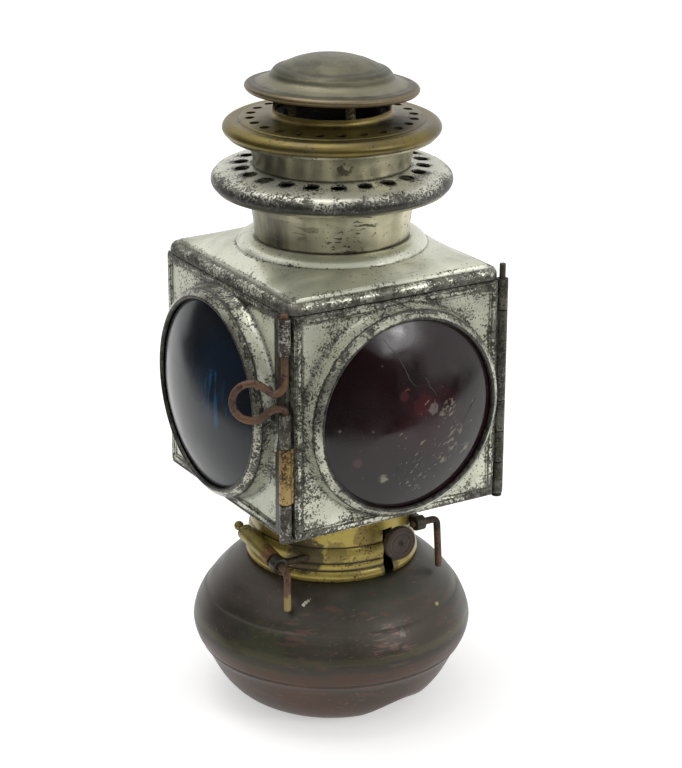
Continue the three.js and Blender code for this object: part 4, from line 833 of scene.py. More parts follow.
burnerShape = {
    "gallery": 15.0, "galleryLow": 68.1, "galleryHigh": 85.9, "wall": 0.8, "cone": 25.0, "vents": 10, "ventRadius": 2.4,
    "baseSlot": (-2.1, 2.1, -9.3, 9.3, 50, 80, 0), "flameSlot": (-2.6, 2.6, -8.8, 8.8, 102, 115, 0),
    "wickTube": (-1.8, 1.8, -9, 9, 62, 106, 0.25), "tubeBore": (-1.2, 1.2, -8.4, 8.4, 58, 110, 0),
    "tubeWindow": (0, 4, -3.3, 3.3, 70.2, 80.8, 0), "wick": (-0.9, 0.9, -8, 8, 10, 108.5, 0.3),
    "shaftX": 6.2, "shaftZ": 75.5, "shaftRadius": 1.1, "knobRadius": 6.8, "knobThick": 3.1, "knobFace": 42.0,
    "base": [(0, 65.7), (12.3, 65.7), (12.3, 57.9), (13.3, 57.9), (13.3, 66.9), (18, 66.9), (18, 68.1), (0, 68.1)],
    "coneShares": [(1, 0), (1, 0.08), (0.947, 0.32), (0.84, 0.6), (0.727, 0.82), (0.633, 0.94), (0, 1)],
    "teeth": 12, "wheelRadius": 5, "toothDepth": 1.2, "wheelBore": 1.25,
    "wheelEdges": [(-3, 0.3), (-2.8, 0), (2.8, 0), (3, 0.3)],
    "knob": [(0, 0.15), (2.0, 0.1), (2.6, 0), (5.2, 0), (5.75, 0.3), (6.0, 0.9), (6.0, 2.3), (5.7, 2.85), (5.3, 3.05),
             (4.9, 2.82), (4.5, 3.02), (4.0, 2.95), (3.5, 2.72), (3.0, 2.88), (2.4, 2.84), (1.7, 2.74), (1.25, 2.7),
             (0.9, 2.3), (0.45, 2.0), (0, 1.95)]}


def makeBurner():
    s = burnerShape
    radius, low, high = s["gallery"], s["galleryLow"], s["galleryHigh"]
    base = lathe(smoothCorners(s["base"], 0.25), 72, closed=False)
    makePiece("burnerBase", [base], "burnerBrass", "fount", "burner_base", "yellow_brass",
              cutters=[softBox(*s["baseSlot"])])
    turns = [2 * math.pi * (k + 0.5) / s["vents"] for k in range(s["vents"])]
    level = high - 2 * s["ventRadius"]
    vents = [turnedTo(drill(s["ventRadius"], -5, 5), (radius * math.cos(a), radius * math.sin(a), level),
                      (math.cos(a), math.sin(a), 0)) for a in turns]
    shaft = turnedTo(drill(1.4, -6, 6), (s["shaftX"], -radius, s["shaftZ"]), (0, -1, 0))
    makePiece("burnerGallery", [lathe([(14.2, low), (15, low), (15, high), (14.2, high)], 96)], "burnerBrass", "fount",
              "burner_gallery", "yellow_brass", cutters=[combine(vents), shaft])
    dome = smoothCorners([(r * radius, high + z * s["cone"]) for r, z in s["coneShares"]], 2.0)
    makePiece("burnerCone", [lathe(thickened(dome, s["wall"]), 96)], "burnerBrass", "fount", "burner_cone",
              "aged_brass", cutters=[softBox(*s["flameSlot"])])
    makePiece("wickTube", [softBox(*s["wickTube"])], "burnerBrass", "fount", "wick_tube", "aged_brass",
              cutters=[softBox(*s["tubeBore"]), softBox(*s["tubeWindow"])])
    makePiece("wickStrip", [softBox(*s["wick"])], "wickCotton", "wick", "wick", "cotton_wick")

    x, z = s["shaftX"], s["shaftZ"]
    shaft = tube([(x, y, z) for y in (4, 3, -10, -25, -38, -38.9)], s["shaftRadius"], 20, 0.2)
    makePiece("wickShaft", [shaft], "darkSteel", "wick_drive", "wick_shaft", "dark_steel")

    def wheelRing(level, radii):
        turns = [math.pi * k / s["teeth"] for k in range(2 * s["teeth"])]
        return [(x + radii[k % 2] * math.cos(a), -level, z + radii[k % 2] * math.sin(a)) for k, a in enumerate(turns)]

    tips = [(level, s["wheelRadius"] - shrink) for level, shrink in s["wheelEdges"]]
    rings = [wheelRing(level, (tip, tip - s["toothDepth"])) for level, tip in tips]
    rings += [wheelRing(level, [s["wheelBore"]] * 2) for level in (3, -3)]
    makePiece("starWheel", [loft(rings)], "burnerBrass", "wick_drive", "star_wheel", "yellow_brass")
    face = smoothCorners([(r * s["knobRadius"] / 6.0, h) for r, h in s["knob"]], 0.2)
    knob = turnedTo(lathe(face, 96, closed=False), (x, s["knobThick"] - s["knobFace"], z), (0, -1, 0))
    makePiece("wickKnob", [knob], "knobBrown", "wick_drive", "wick_knob", "rusty_wire")


# collar

collarShape = {
    "wall": 0.9, "slotX": 6.2, "slotWidth": 4.6, "slotTop": 78.1,
    "outline": [(33.6, 59.5), (34.3, 61.4), (33.6, 63.4), (32.9, 63.9), (33.3, 66.2), (32.7, 66.9), (33.2, 69.6),
                (32.7, 72.6), (32.2, 73.2), (32.4, 78), (32.4, 88.7), (32.4, 89)]}


def makeCollar():
    s = collarShape
    x, half = s["slotX"], s["slotWidth"] / 2
    slot = softBox(x - half, x + half, -40, 0, 50, s["slotTop"], 0)
    band = lathe(thickened(smoothCorners(s["outline"], 0.9), s["wall"]), 144)
    makePiece("fountCollar", [band], "collarBrass", "lamp", "fount_collar", "yellow_brass", cutters=[slot],
              uneven=(0.12, 9))


# case: floor, panels, door and roof

caseShape = {
    "halfWidth": 45.4, "front": 44.0, "back": 48.5, "height": 87.6, "jamb": 7.4, "doorHalf": 44.2, "doorDepth": 3.6,
    "lensShift": 2.25, "bead": 0.7, "cove": 0.5, "lensSeat": 40.3, "seatHeight": 6.4, "leafWidth": 7.8,
    "insets": [0.1, 0.35, 0.5, 0.65, 0.85, 1.4, 2.2, 3.0, 3.2, 3.45, 3.7, 3.9, 4.2, 4.6, 5.0],
    "coves": [2.6, 1.9, 1.35, 1.0, 0.72, 0.5, 0.34, 0.2, 0.08, 0.0], "middles": 5,
    "rimTop": 94, "rims": [(-44.3, 44.3, -42.9, -42.1), (-44.3, 44.3, 46.6, 47.4), (-44.3, -43.5, -42.9, 47.4),
                           (43.5, 44.3, -42.9, 47.4)],
    "floorLip": [(24, 89.1), (24.9, 89.1), (24.9, 91.7), (24.4, 91.9), (24, 91.7)]}
panelSteps = [(0, -0.8), (0, -0.1), (0.1, 0), (0.4, 0), (0.55, 0.25), (0.75, 0.7), (3.4, 0.7), (3.6, 0.25), (3.8, -0.1),
              (4.2, -0.2), (4.8, 0)]
lensShape = {
    "radius": 36.1, "bulge": 8.0, "seat": 7.6,
    "rim": [(0, 4), (38.4, 4), (38.6, 4.2), (38.6, 7.4), (38.4, 7.6), (36.5, 7.6)],
    "bezel": [(38.9, 6.4), (40.2, 6.4), (40.3, 6.7), (39.9, 7.3), (39.0, 8.1), (38.2, 8.7), (37.6, 9.15), (37.1, 9.2),
              (36.7, 8.8), (36.5, 8.2), (36.4, 7.9), (38.9, 7.9), (38.9, 6.6)],
    "retainer": [(36.6, 2.4), (38.9, 2.4), (38.9, 3.7), (36.6, 3.7), (36.6, 2.6)],
    "cracks": [("longCrack", 0.5, [(-12.3, 32.3), (-9.9, 28.6), (-7.0, 24.7), (-5.5, 21.3), (-4.3, 17.9), (-2.6, 14.7),
                                   (-0.1, 13.2)]),
               ("shortCrack", 0.4, [(2.9, 16.7), (4.7, 12.6), (7.7, 8.3)]),
               ("edgeCrack", 0.35, [(27.2, 2.9), (24.4, -0.6), (20.3, -5.5)])]}


def facing(side):   # across, up and out from a side of the case, to the shared frame
    s = caseShape
    return {"front": lambda u, v, h: (u, -(s["front"] + s["doorDepth"] + h), panelZ + v),
            "right": lambda u, v, h: (s["halfWidth"] + h, u, panelZ + v),
            "left": lambda u, v, h: (-s["halfWidth"] - h, -u, panelZ + v),
            "back": lambda u, v, h: (-u, s["back"] + h, panelZ + v)}[side]


def sideEnds(side):
    s = caseShape
    return {"front": (-s["doorHalf"], s["doorHalf"]), "left": (-s["back"], s["front"]),
            "right": (-s["front"], s["back"])}[side]


def ease(value, low, high):
    t = max(0.0, min(1.0, (value - low) / (high - low)))
    return t * t * (3 - 2 * t)


def boxRing(left, right, foot, top, perSide=40):   # even steps along each side, corners included
    corners = [(right, top), (left, top), (left, foot), (right, foot)]
    return [(x0 + (x1 - x0) * k / perSide, y0 + (y1 - y0) * k / perSide)
            for (x0, y0), (x1, y1) in zip(corners, corners[1:] + corners[:1]) for k in range(perSide)]


def pressedPanel(side, foot, top, lensU, lipDepth, leafSide=0):
    s = caseShape
    where = facing(side)
    left, right = sideEnds(side)
    seat, rise = s["lensSeat"], s["seatHeight"]
    centre = Vector((lensU, lensHeight))

    def height(u, v):
        inset = min(u - left, right - u, v - foot, top - v)
        bead = s["bead"] * ease(inset, 0.35, 0.85) * (1 - ease(inset, 3.0, 3.7))
        bead -= 0.25 * ease(inset, 3.6, 3.9) * (1 - ease(inset, 4.2, 4.9))   # the groove inside the bead
        if leafSide and (u - left if leafSide < 0 else right - u) < s["leafWidth"]:
            bead = 0
        cove = rise * math.exp(-((Vector((u, v)) - centre).length - seat) / s["cove"])
        return max(bead, cove) + 0.25 * min(abs(bead), cove)

    def steepness(spot, way, ends):   # how much a ring's way counts towards the border that the spot lies on
        return abs(way) if abs(spot - ends[0 if way < 0 else 1]) < 1e-6 else 0

    guide = boxRing(left, right, foot, top)
    insets, coves, middles = s["insets"], s["coves"], s["middles"]
    total = len(insets) + middles + len(coves)
    rings = [[] for _ in range(total)]
    for u, v in guide:
        away = Vector((u, v)) - centre
        length = away.length - seat
        way = away.normalized()
        steep = max(steepness(u, way.x, (left, right)), steepness(v, way.y, (foot, top)))
        spots = [min(d / steep, length * (k + 1) / (total + 1)) for k, d in enumerate(insets)]
        last = len(coves) - 1
        ends = [length - min(c, length * (last - k) / (total + 1) if k < last else 0) for k, c in enumerate(coves)]
        between = [spots[-1] + (ends[0] - spots[-1]) * (k + 1) / (middles + 1) for k in range(middles)]
        for ring, d in zip(rings, spots + between + ends):
            spot = Vector((u, v)) - way * d
            ring.append(where(spot.x, spot.y, height(spot.x, spot.y)))
    angles = [math.atan2(v - lensHeight, u - lensU) for u, v in guide]
    flat = lambda ring, h: [where(u, v, h) for u, v in ring]
    circle = lambda r, h: [where(lensU + r * math.cos(a), lensHeight + r * math.sin(a), h) for a in angles]
    inner = boxRing(left + sheet, right - sheet, foot + sheet, top - sheet)
    start = [flat(inner, -lipDepth), flat(guide, -lipDepth)] if lipDepth else [flat(guide, -sheet)]
    end = [circle(seat + out, h) for out, h in ((-sheet, rise), (0.2 - sheet, 2.5), (0.6, -0.1), (1.2, -sheet))]
    return loft(start + [flat(guide, -0.15)] + rings + end + ([flat(inner, -sheet)] if lipDepth else []))


def plainPanel(where, left, right, foot, top):
    grid = [boxRing(left + d, right - d, foot + d, top - d) for d, _ in panelSteps]
    rings = [[where(u, v, h) for u, v in ring] for ring, (_, h) in zip(grid, panelSteps)]
    x, y = (left + right) / 2, (foot + top) / 2
    for share in (0.8, 0.6, 0.4, 0.2, 0.0):
        rings.append([where(x + (u - x) * share, y + (v - y) * share, 0) for u, v in grid[-1]])
    rings.append([where(x, y, -sheet) for _ in grid[-1]])
    return loft(rings)


def panelZone(side, lensU):   # 1 near the borders and the lens rim, where the plating is worn through
    left, right = sideEnds(side)

    def zone(x, y, z):
        u, v = {"front": x, "left": -y, "right": y}[side], z - panelZ
        inset = max(0.0, min(u - left, right - u, v, caseShape["height"] - v))
        border = math.exp(-(inset / 4.4) ** 2)
        rim = math.exp(-((math.hypot(u - lensU, v - lensHeight) - 41.2) / 2.4) ** 2)
        corner = 0.12 if side == "front" and u < -20 and v > 50 else 0.0
        return min(1.0, border + rim * 0.3 + corner)
    return zone


def makeLens(side, name, lensU, body):
    s = lensShape
    radius, bulge = s["radius"], s["bulge"]
    ball = (radius ** 2 + bulge ** 2) / (2 * bulge)
    across = [radius * math.sin(math.pi / 2 * k / 20) for k in range(21)]
    dome = [(r, s["seat"] + math.sqrt(ball * ball - r * r) - (ball - bulge)) for r in across]
    turned = lambda profile, steps, **more: [lathe(profile, steps, facing(side), (lensU, lensHeight), **more)]
    makePiece(f"{name}Lens", turned(s["rim"] + dome[::-1], 144, closed=False), f"{name}Glass", body, f"lens_{name}",
              f"{name}_glass", sharp=50)
    flat = {"front": 0, "left": 1, "right": 1}[side]
    middle = facing(side)(lensU, lensHeight, 0)

    # darkest on the inner lip by the lens, grime and painted shade in the groove there; a little darker on the worn
    # outer slope
    def bezelDarkening(*p):
        r = math.hypot(p[flat] - middle[flat], p[2] - middle[2])
        return 1.5 * (1 - ease(r, 36.9, 37.4)) + 0.35 * ease(r, 37.9, 39.0)

    makePiece(f"{name}Bezel", turned(smoothCorners(s["bezel"], 0.25), 144), "bezelDark", body, f"bezel_{name}",
              "dull_nickel", zone=bezelDarkening)
    makePiece(f"{name}Retainer", turned(smoothCorners(s["retainer"], 0.3), 96), "darkSteel", body,
              f"retainer_{name}", "dark_steel")


def makeCase():
    s = caseShape
    half, front, back, height = s["halfWidth"], s["front"], s["back"], s["height"]
    for side, sign, name in (("left", -1, "blue"), ("right", 1, "clear")):
        lensU = sign * s["lensShift"]
        x0, x1 = sorted((sign * (half - 0.05), sign * (half - s["jamb"])))
        jamb = softBox(x0, x1, -front, -front + sheet, panelZ, roofZ, 0.2)
        panel = pressedPanel(side, 0, height, lensU, 0, -sign)
        makePiece(f"{side}Panel", [panel, jamb], "sidePlate", "lamp", f"{side}_panel", "nickel_plate",
                  uneven=(0.16, 14), zone=panelZone(side, lensU))
        makeLens(side, name, lensU, "lamp")
    inside = half - sheet - gap
    panel = plainPanel(facing("back"), -inside, inside, 0, height)
    makePiece("backPanel", [panel], "sidePlate", "lamp", "back_panel", "nickel_plate", uneven=(0.16, 14))

    door = pressedPanel("front", 0, height - gap, 0, s["doorDepth"] - gap)
    makePiece("doorPanel", [door], "doorPlate", "door", "door_panel", "nickel_plate", uneven=(0.2, 13),
              zone=panelZone("front", 0))
    makeLens("front", "red", 0, "door")
    for crack in lensShape["cracks"]:
        crackLine(*crack)

    plate = softBox(-half, half, -front, back, floorZ, panelZ, 0.1)
    rims = [softBox(*spans, floorZ, s["rimTop"], 0.2) for spans in s["rims"]]
    makePiece("floorPan", [plate, *rims, lathe(s["floorLip"], 96)], "sidePlate", "lamp", "floor_pan", "dull_nickel",
              cutters=[drill(24, 80, 100, steps=96)])


def crackLine(name, width, spots):   # a thin dark seam that follows the red lens's bulge
    rand = random.Random(name)
    ball, depth = 85.45, 22.25
    path = []
    for (u0, v0), (u1, v1) in zip(spots, spots[1:]):
        for t in (0, 0.25, 0.5, 0.75):
            path.append(tuple(a + (b - a) * t + rand.uniform(-0.25, 0.25) for a, b in ((u0, u1), (v0, v1))))
    path.append(spots[-1])
    points = []
    for k, (u, v) in enumerate(path):
        a, b = path[max(k - 1, 0)], path[min(k + 1, len(path) - 1)]
        way = Vector((b[0] - a[0], b[1] - a[1])).normalized()
        half = width / 2 * math.sin(math.pi * (k + 0.4) / (len(path) - 0.2)) * rand.uniform(0.6, 1.2)
        for side in (-1, 1):
            x, z = u - way.y * half * side, v + way.x * half * side
            points.append((x, depth - math.sqrt((ball + 0.03) ** 2 - x * x - z * z), panelZ + lensHeight + z))
    faces = [(2 * k, 2 * k + 1, 2 * k + 3, 2 * k + 2) for k in range(len(path) - 1)]
    makePiece(name, [(points, faces)], "soot", "door", "", "red_glass")


roofShape = {
    "halfWidth": 46.0, "front": 47.6, "back": 49.1, "corner": 5.0, "flange": 2.4,
    "cornerSteps": 9, "sideSteps": 25, "panSteps": 14,
    "edge": [(0, 0), (0, 2.0), (0.4, 3.1), (0.9, 3.75), (1.6, 4.2), (2.2, 4.3), (2.7, 4.0), (3.1, 3.75), (3.5, 4.4),
             (3.9, 5.2)],
    "throat": [(37.0, 9.55), (36.6, 9.62), (36.3, 10.2), (35.7, 11.2), (34.7, 12.15), (33.5, 12.85), (32.3, 13.2),
               (31.2, 13.3), (30.4, 13.15), (29.96, 12.9), (28.4, 12.9)]}


def makeRoof():
    s = roofShape
    half, front, back, bends, sides = (s[key] for key in ("halfWidth", "front", "back", "cornerSteps", "sideSteps"))

    def squareRing(inset, z):
        radius = max(s["corner"] - inset, 0.3)
        arcs = []
        for k, (x, y) in enumerate([(half, back), (-half, back), (-half, -front), (half, -front)]):
            cx, cy = x - math.copysign(inset + radius, x), y - math.copysign(inset + radius, y)
            turns = [math.pi / 2 * (k + i / bends) for i in range(bends + 1)]
            arcs.append([(cx + radius * math.cos(a), cy + radius * math.sin(a)) for a in turns])
        ring = []
        for arc, following in zip(arcs, arcs[1:] + arcs[:1]):
            (x0, y0), (x1, y1) = arc[-1], following[0]
            ring += arc + [(x0 + (x1 - x0) * i / sides, y0 + (y1 - y0) * i / sides) for i in range(1, sides)]
        return [(x, y, z) for x, y in ring]

    def roundRing(radius, z):
        count = 4 * (bends + sides)
        turns = [math.pi / 4 + 2 * math.pi * (i - bends / 2) / count for i in range(count)]
        return [(radius * math.cos(a), radius * math.sin(a), z) for a in turns]

    def ringAt(r, z, kind):
        return squareRing(half - r, roofZ + z) if kind == "square" else roundRing(r, roofZ + z)

    profile = [(half - s["flange"], 0, "square")] + [(half - d, z, "square") for d, z in s["edge"]]
    shell = thickened(profile + [(r, z, "round") for r, z in s["throat"]], sheet)
    rings = []
    for here, following in zip(shell, shell[1:] + shell[:1]):
        rings.append(ringAt(*here))
        if following[2] != here[2] and here is not shell[-1]:   # the sloping pan, from square to round
            pairs = list(zip(rings[-1], ringAt(*following)))
            for t in range(1, s["panSteps"]):
                rings.append([tuple(Vector(a).lerp(Vector(b), t / s["panSteps"])) for a, b in pairs])

    def zone(x, y, z):
        inset = min(half - abs(x), y + front, back - y)
        rim = math.exp(-(max(0, inset - 0.5) / 4.0) ** 2)
        # the crease at the foot of the throat ring is darkened: partly dirt, partly painted shade
        throat = math.exp(-((math.hypot(x, y) - 36.7) / 0.7) ** 2) * 0.9
        return min(1.0, rim * 0.85 + throat)

    makePiece("roofPan", [loft(rings)], "roofPlate", "lamp", "roof_pan", "nickel_plate", uneven=(0.2, 16), zone=zone)


# chimney

chimneyShape = {
    "neck": [(29.4, 190.3), (29.55, 191.5), (29.9, 196), (31, 203), (32.6, 206.75), (35, 208.16), (43.7, 208.4)],
    "lower": [(42.92, 209.2), (44.0, 209.2), (45.3, 210.0), (45.9, 211.8), (45.4, 213.8), (43.6, 215.5), (40, 216.7),
              (31.67, 217.6), (28.6, 217.6)],
    "lowerHoles": (22, 34.4, 2.7, -27.0, 205, 225),
    "drum": [(29.8, 217.6), (30.0, 220.5), (31.2, 224.6), (33.0, 227.6), (39.1, 228.6)],
    "upper": [(38.3, 229.4), (39.6, 229.4), (40.8, 230.2), (41.4, 231.8), (40.6, 233.6), (38.5, 234.9), (35.7, 234.85),
              (35.3, 234.78), (34.6, 235.3), (23.9, 236.1), (22.9, 236.6), (22.3, 237.5), (22.3, 238.8), (22.3, 239.0)],
    "upperHoles": (24, 30.8, 1.8, -39.4, 230, 240),
    "flue": [(27.6, 180.8), (19, 189.2), (19, 236.7), (21.2, 236.7)],
    "cap": [(0, 258.9), (5, 258.75), (10, 258.05), (14, 256.9), (17, 255.6), (18.6, 254.8), (19.4, 254.4),
            (20.6, 254.1), (21.6, 253.5), (22.6, 252.3), (23.2, 251.1), (24.1, 250.2), (25.8, 249.3), (29.0, 248.3),
            (30.8, 248.3),
            (31.9, 247.9), (32.7, 247.2), (32.9, 246.5), (32.6, 245.7), (32.0, 245.1), (31.2, 244.8), (30.6, 245.2),
            (31.5, 245.6), (31.9, 246.4), (31.4, 247.0), (30.6, 247.4), (28.9, 247.4), (25.4, 248.4), (23.4, 249.4),
            (22.8, 250.4), (20.9, 250.4), (20.2, 253.0), (19.0, 253.5), (16.6, 254.6), (9.8, 257.0), (0, 258.0)],
    "capLean": (-0.0368, -0.0104), "posts": 6, "postTurn": -13.0, "postCircle": 21.9}


def ventHoles(count, circle, radius, turn, low, high):
    turns = [math.radians(turn) + 2 * math.pi * k / count for k in range(count)]
    return [combine([drill(radius, low, high, circle * math.sin(a), -circle * math.cos(a), 32) for a in turns])]


def makeChimney():
    s = chimneyShape
    rimZone = lambda x, y, z: math.exp(-(max(0.0, 46.2 - math.hypot(x, y)) / 3.6) ** 2)
    for name, key, reach, steps, surface, node, slot, more in (
            ("lowerNeck", "neck", 1.6, 144, "satinNickel", "lower_neck", "nickel_plate", dict(uneven=(0.08, 10))),
            ("lowerVentPlate", "lower", 1.2, 160, "lowerPlate", "lower_vent_plate", "nickel_plate",
             dict(cutters=ventHoles(*s["lowerHoles"]), uneven=(0.16, 12), zone=rimZone)),
            ("upperDrum", "drum", 1.2, 144, "satinNickel", "upper_drum", "nickel_plate", dict(uneven=(0.08, 9))),
            ("upperVentPlate", "upper", 0.9, 160, "ventBrass", "upper_vent_plate", "aged_brass",
             dict(cutters=ventHoles(*s["upperHoles"]), uneven=(0.12, 11))),
            ("innerFlue", "flue", 1.5, 96, "soot", "inner_flue", "sooted_metal", {})):
        shell = lathe(thickened(smoothCorners(s[key], reach), sheet), steps)
        makePiece(name, [shell], surface, "lamp", node, slot, **more)
    lean = Matrix.Identity(4)   # the cap sits slightly askew
    lean[2][0], lean[2][1] = s["capLean"]
    for k in range(s["posts"]):
        turn = math.radians(s["postTurn"]) + 2 * math.pi * k / s["posts"]
        x, y = s["postCircle"] * math.sin(turn), -s["postCircle"] * math.cos(turn)
        tab = softBox(-1.85, 1.85, -0.4, 0.4, postZ, capSeatZ + s["capLean"][0] * x + s["capLean"][1] * y, 0.14)
        tab = moved(tab, Matrix.Translation((x, y, 0)) @ Matrix.Rotation(turn, 4, "Z"))
        makePiece(f"capPost{k + 1}", [tab], "postBrass", "lamp", f"cap_post_{k + 1}", "aged_brass")
    cap = moved(lathe(smoothCorners(s["cap"], 0.45), 160, closed=False), lean)
    makePiece("cap", [cap], "capNickel", "lamp", "cap", "dull_nickel", uneven=(0.1, 12))


# corner barrels and pins

cornerShape = {
    "x": 47.2, "y": -46.0, "outer": 2.3, "hingeBore": 1.5, "wireBore": 1.7, "height": 87.6,
    "leafFrom": 2.8, "leafTo": 9.5, "leafSpan": (45.4, 46.1), "doorLeaf": (44.2, 44.7), "doorTabs": (44.3, 45.45),
    "bodyBarrels": [(0.003, 0.148), (0.298, 0.438), (0.858, 0.995)], "doorBarrels": [(0.152, 0.294), (0.442, 0.854)],
    "catchBarrels": [(0.003, 0.175), (0.429, 0.581), (0.836, 0.995)], "doorCatch": (0.179, 0.425),
    "hingePin": [(0, 88.6), (2, 88.6), (2, 89.5), (1.2, 89.5), (1.2, 182.8), (0, 182.8)],
    "wire": 1.4, "wireTurn": 31.2, "loop": (11.8, 55.4, 7.2),
    "wireTop": [(0, 88.9), (0, 74.6), (0, 66.0), (0, 63.0), (0, 61.8), (0.1, 61.3), (0.59, 60.5), (2.0, 58.9),
                (4.25, 58.54)],
    "wireFoot": [(4.25, 52.4), (2.0, 52.76), (0.24, 52.1), (0, 49.6), (0, 38.9), (0, 28.2)]}


def makeCorners():
    s = cornerShape
    x, y, height = s["x"], s["y"], s["height"]
    atCorner = lambda part, sign=1: moved(part, Matrix.Translation((sign * x, y, 0)))

    def barrels(shares, bore, sign):
        levels = [(panelZ + a * height, panelZ + b * height) for a, b in shares]
        return levels, [atCorner(ringPart(s["outer"], bore, low, high, 0.2, 40), sign) for low, high in levels]

    for name, sign, shares, bore, node, surface, slot in (
            ("hingeBodyLeaf", 1, s["bodyBarrels"], s["hingeBore"], "hinge_leaf_body", "hingeNickel", "nickel_plate"),
            ("catchLeaf", -1, s["catchBarrels"], s["wireBore"], "catch_leaf", "barrelNickel", "dull_nickel")):
        levels, parts = barrels(shares, bore, sign)
        x0, x1 = sorted(sign * reach for reach in s["leafSpan"])
        parts.append(softBox(x0, x1, y + s["leafFrom"], y + s["leafTo"], levels[0][0], levels[-1][1], 0.15))
        parts += [softBox(x0, x1, y + 1.9, y + s["leafFrom"] + 0.5, low, high, 0.12) for low, high in levels]
        makePiece(name, parts, surface, "lamp", node, slot, zone=lambda px, py, pz: 1.0 if py > -44.2 else 0.0)
    levels, parts = barrels(s["doorBarrels"], s["hingeBore"], 1)
    parts.append(softBox(*s["doorLeaf"], y - 1.5, y + 1.5, levels[0][0], levels[-1][1], 0.12))
    parts += [softBox(*s["doorTabs"], y - 0.6, y + 0.6, low, high, 0.1) for low, high in levels]
    makePiece("hingeDoorLeaf", parts, "hingeNickel", "door", "hinge_leaf_door", "dull_nickel")
    pin = atCorner(lathe(smoothCorners(s["hingePin"], 0.3), 32, closed=False))
    makePiece("hingePin", [pin], "darkSteel", "lamp", "hinge_pin", "dark_steel")

    [(low, high)], hook = barrels([s["doorCatch"]], s["wireBore"], -1)
    tab = softBox(-x + 1.9, -44.2, y - 1.15, y - 0.3, low, high, 0.12)
    mouth = softBox(-x - 1.7, -x + 1.7, y, y + 4, low - 2, high + 2, 0)
    makePiece("doorCatchBarrel", hook + [tab], "barrelBrass", "door", "door_catch_barrel", "yellow_brass",
              cutters=[mouth])

    turn = math.radians(s["wireTurn"])
    across, up, radius = s["loop"]
    angles = [(math.pi - 0.8 * math.pi / 2) * (1 - 2 * k / 16) for k in range(17)]
    side = s["wireTop"] + [(across + radius * math.cos(a), up + radius * math.sin(a)) for a in angles] + s["wireFoot"]
    spots = [(-x - a * math.cos(turn), y + a * math.sin(turn), panelZ + b) for a, b in side]
    pin = tube(curveThrough(spots, 150), s["wire"], 20, 0.35)
    makePiece("latchPin", [pin], "wireRust", "latch", "latch_pin", "rusty_wire")


# spring catches on the collar

catchShape = {
    "wire": 1.4, "bend": 2.6, "bore": 1.75, "leftX": 36.9, "leftZ": 72.3, "tilt": 8.0, "rear": 7.5, "front": 29.3,
    "leg": 15.6, "sleeve": (3.2, -4.5, 18.5), "saddle": (-36.9, -33.0, -3.2, 3.2, 70.1, 74.5, 0.5), "knob": 1.9,
    "knobBack": 1.71, "eyeAt": 22.2, "collarLeft": 33.5, "collarRight": 32.7,
    "rightY": 28.8, "rightZ": 75.8, "rightEye": 22.5, "start": 19.0, "reach": 31.0, "rightLeg": 19.7, "kick": 2.0}


def makeCatches():
    s = catchShape
    tilt = math.radians(s["tilt"])
    along = Vector((0, -math.cos(tilt), -math.sin(tilt)))
    axis = Vector((-s["leftX"], 0, s["leftZ"]))
    at = lambda distance: axis + along * distance
    collar = lambda radius: drill(radius, 50, 100, steps=144)

    def makeWire(side, corners):
        wire = tube(softPath(corners, s["bend"]), s["wire"], 20, 0.5)
        makePiece(f"{side}CatchWire", [wire], "wireRust", f"{side}_catch", f"{side}_catch_wire", "rusty_wire")

    def makeEye(side, outer, spot, way, mount, surface, mountName, collarRadius):
        eye = turnedTo(ringPart(outer, s["bore"], -2, 2), spot, way)
        makePiece(f"{side}CatchEye", [eye], "darkSteel", "lamp", f"{side}_catch_bracket", "dark_steel")
        hole = turnedTo(drill(outer - 0.1, -8, 8, steps=40), spot, way)
        makePiece(mountName, [mount], surface, "lamp", "", "dark_steel", cutters=[hole, collar(collarRadius)])

    knee = at(s["front"])
    makeWire("left", [at(-s["rear"]), knee, knee + Vector((0, 0, -s["leg"]))])
    outer, low, high = s["sleeve"]
    makePiece("leftCatchSleeve", [turnedTo(ringPart(outer, s["bore"], low, high), axis, along)], "sleeveBrass", "lamp",
              "left_catch_sleeve", "yellow_brass")
    tools = [turnedTo(drill(s["bore"], low - 2, high + 2, steps=40), axis, along), collar(s["collarLeft"]),
             turnedTo(drill(outer - 0.1, low + 0.2, high - 0.2, steps=40), axis, along)]
    makePiece("leftCatchSaddle", [softBox(*s["saddle"])], "sleeveBrass", "lamp", "", "yellow_brass", cutters=tools)
    r = s["knob"]
    turns = [math.pi * (k / 16 - 0.5) for k in range(1, 16)]
    ball = lathe([(0, -r)] + [(r * math.cos(a), r * math.sin(a)) for a in turns] + [(0, r)], 32, closed=False)
    makePiece("leftCatchKnob", [turnedTo(ball, at(-s["rear"] - s["knobBack"]), along)], "sleeveBrass", "left_catch",
              "left_catch_knob", "aged_brass")
    spot = at(s["eyeAt"])
    arm = softBox(spot.x, -20, spot.y - 1.4, spot.y + 1.4, spot.z - 1.2, spot.z + 1.2, 0.9, 4)
    makeEye("left", outer, spot, along, arm, "stainedBrass", "leftCatchArm", s["collarLeft"])

    y, z = -s["rightY"], s["rightZ"]
    makeWire("right", [(s["start"], y, z), (s["reach"], y, z), (s["reach"], y - s["kick"], z - s["rightLeg"])])
    foot = softBox(20.5, 24.5, y, -15, z - 2.2, z + 2.2, 0.4)
    makeEye("right", 2.9, (s["rightEye"], y, z), (1, 0, 0), foot, "darkSteel", "rightCatchFoot", s["collarRight"])


# back fittings

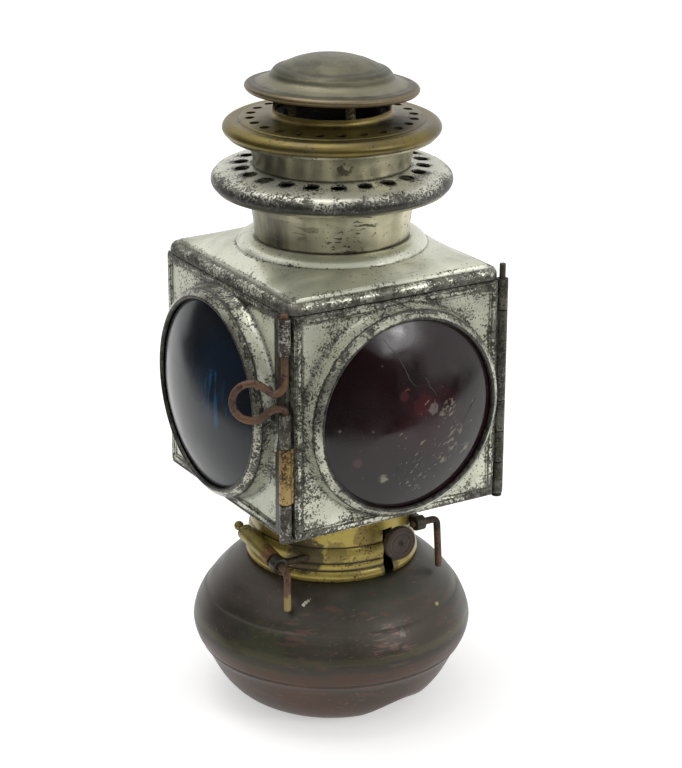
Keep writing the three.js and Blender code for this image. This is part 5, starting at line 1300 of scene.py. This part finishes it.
backShape = {"face": 48.5, "plateX": 31.0, "plateZ": 15.0, "low": 0.7, "thick": 3.0, "bossX": 27, "bossZ": 11,
             "studX": 22.0, "stud": 3.0, "head": 4.6, "length": 12.0, "threadStep": 0.8,
             "dish": [(0, 0), (5, 0), (16, 1.8), (25.6, 5.4), (32, 9)]}


def makeBack():
    s = backShape
    z = panelZ + lensHeight
    y0 = s["face"] + s["low"]
    y1 = y0 + s["thick"]
    plate = softBox(-s["plateX"], s["plateX"], y0, y1, z - s["plateZ"], z + s["plateZ"], 0.5)
    boss = softBox(-s["bossX"], s["bossX"], s["face"], y0 + 0.4, z - s["bossZ"], z + s["bossZ"], 0)
    hole = drill(s["stud"] + gap, -20, 20, steps=32)
    holes = [turnedTo(hole, (sign * s["studX"], 50, z), (0, 1, 0)) for sign in (-1, 1)]
    makePiece("mountPlate", [plate, boss], "darkSteel", "lamp", "mount_plate", "dark_steel", cutters=[combine(holes)])
    inner, end = s["face"] - sheet, y1 + s["length"]
    thread = []
    y = y1 + 1.5
    while y < end - s["threadStep"]:
        thread += [(s["stud"], y), (2.65, y + s["threadStep"] / 2)]
        y += s["threadStep"]
    head = s["head"]
    profile = [(0, inner - 2), (head - 0.3, inner - 2), (head, inner - 1.7), (head, inner), (s["stud"], inner), *thread,
               (2.6, end - 0.3), (2.3, end), (0, end)]
    for name, sign in (("left", -1), ("right", 1)):
        bolt = turnedTo(lathe(profile, 40, closed=False), (sign * s["studX"], 0, z), (0, 1, 0))
        makePiece(f"{name}Stud", [bolt], "darkSteel", "lamp", f"mount_stud_{name}", "dark_steel")
    bowl = lathe(thickened(smoothCorners(s["dish"], 2.5), 0.6), 96, closed=True)
    makePiece("reflectorDish", [turnedTo(bowl, (0, s["face"] - sheet, z), (0, -1, 0))], "reflectorSilver", "lamp",
              "reflector", "reflector_silver", sharp=60)


makeFount()
makeBurner()
makeCollar()
print("fount, burner and collar made")
makeCase()
makeRoof()
print("case and roof made")
makeChimney()
print("chimney made")
makeCorners()
makeCatches()
makeBack()
print("corners, catches and back made")
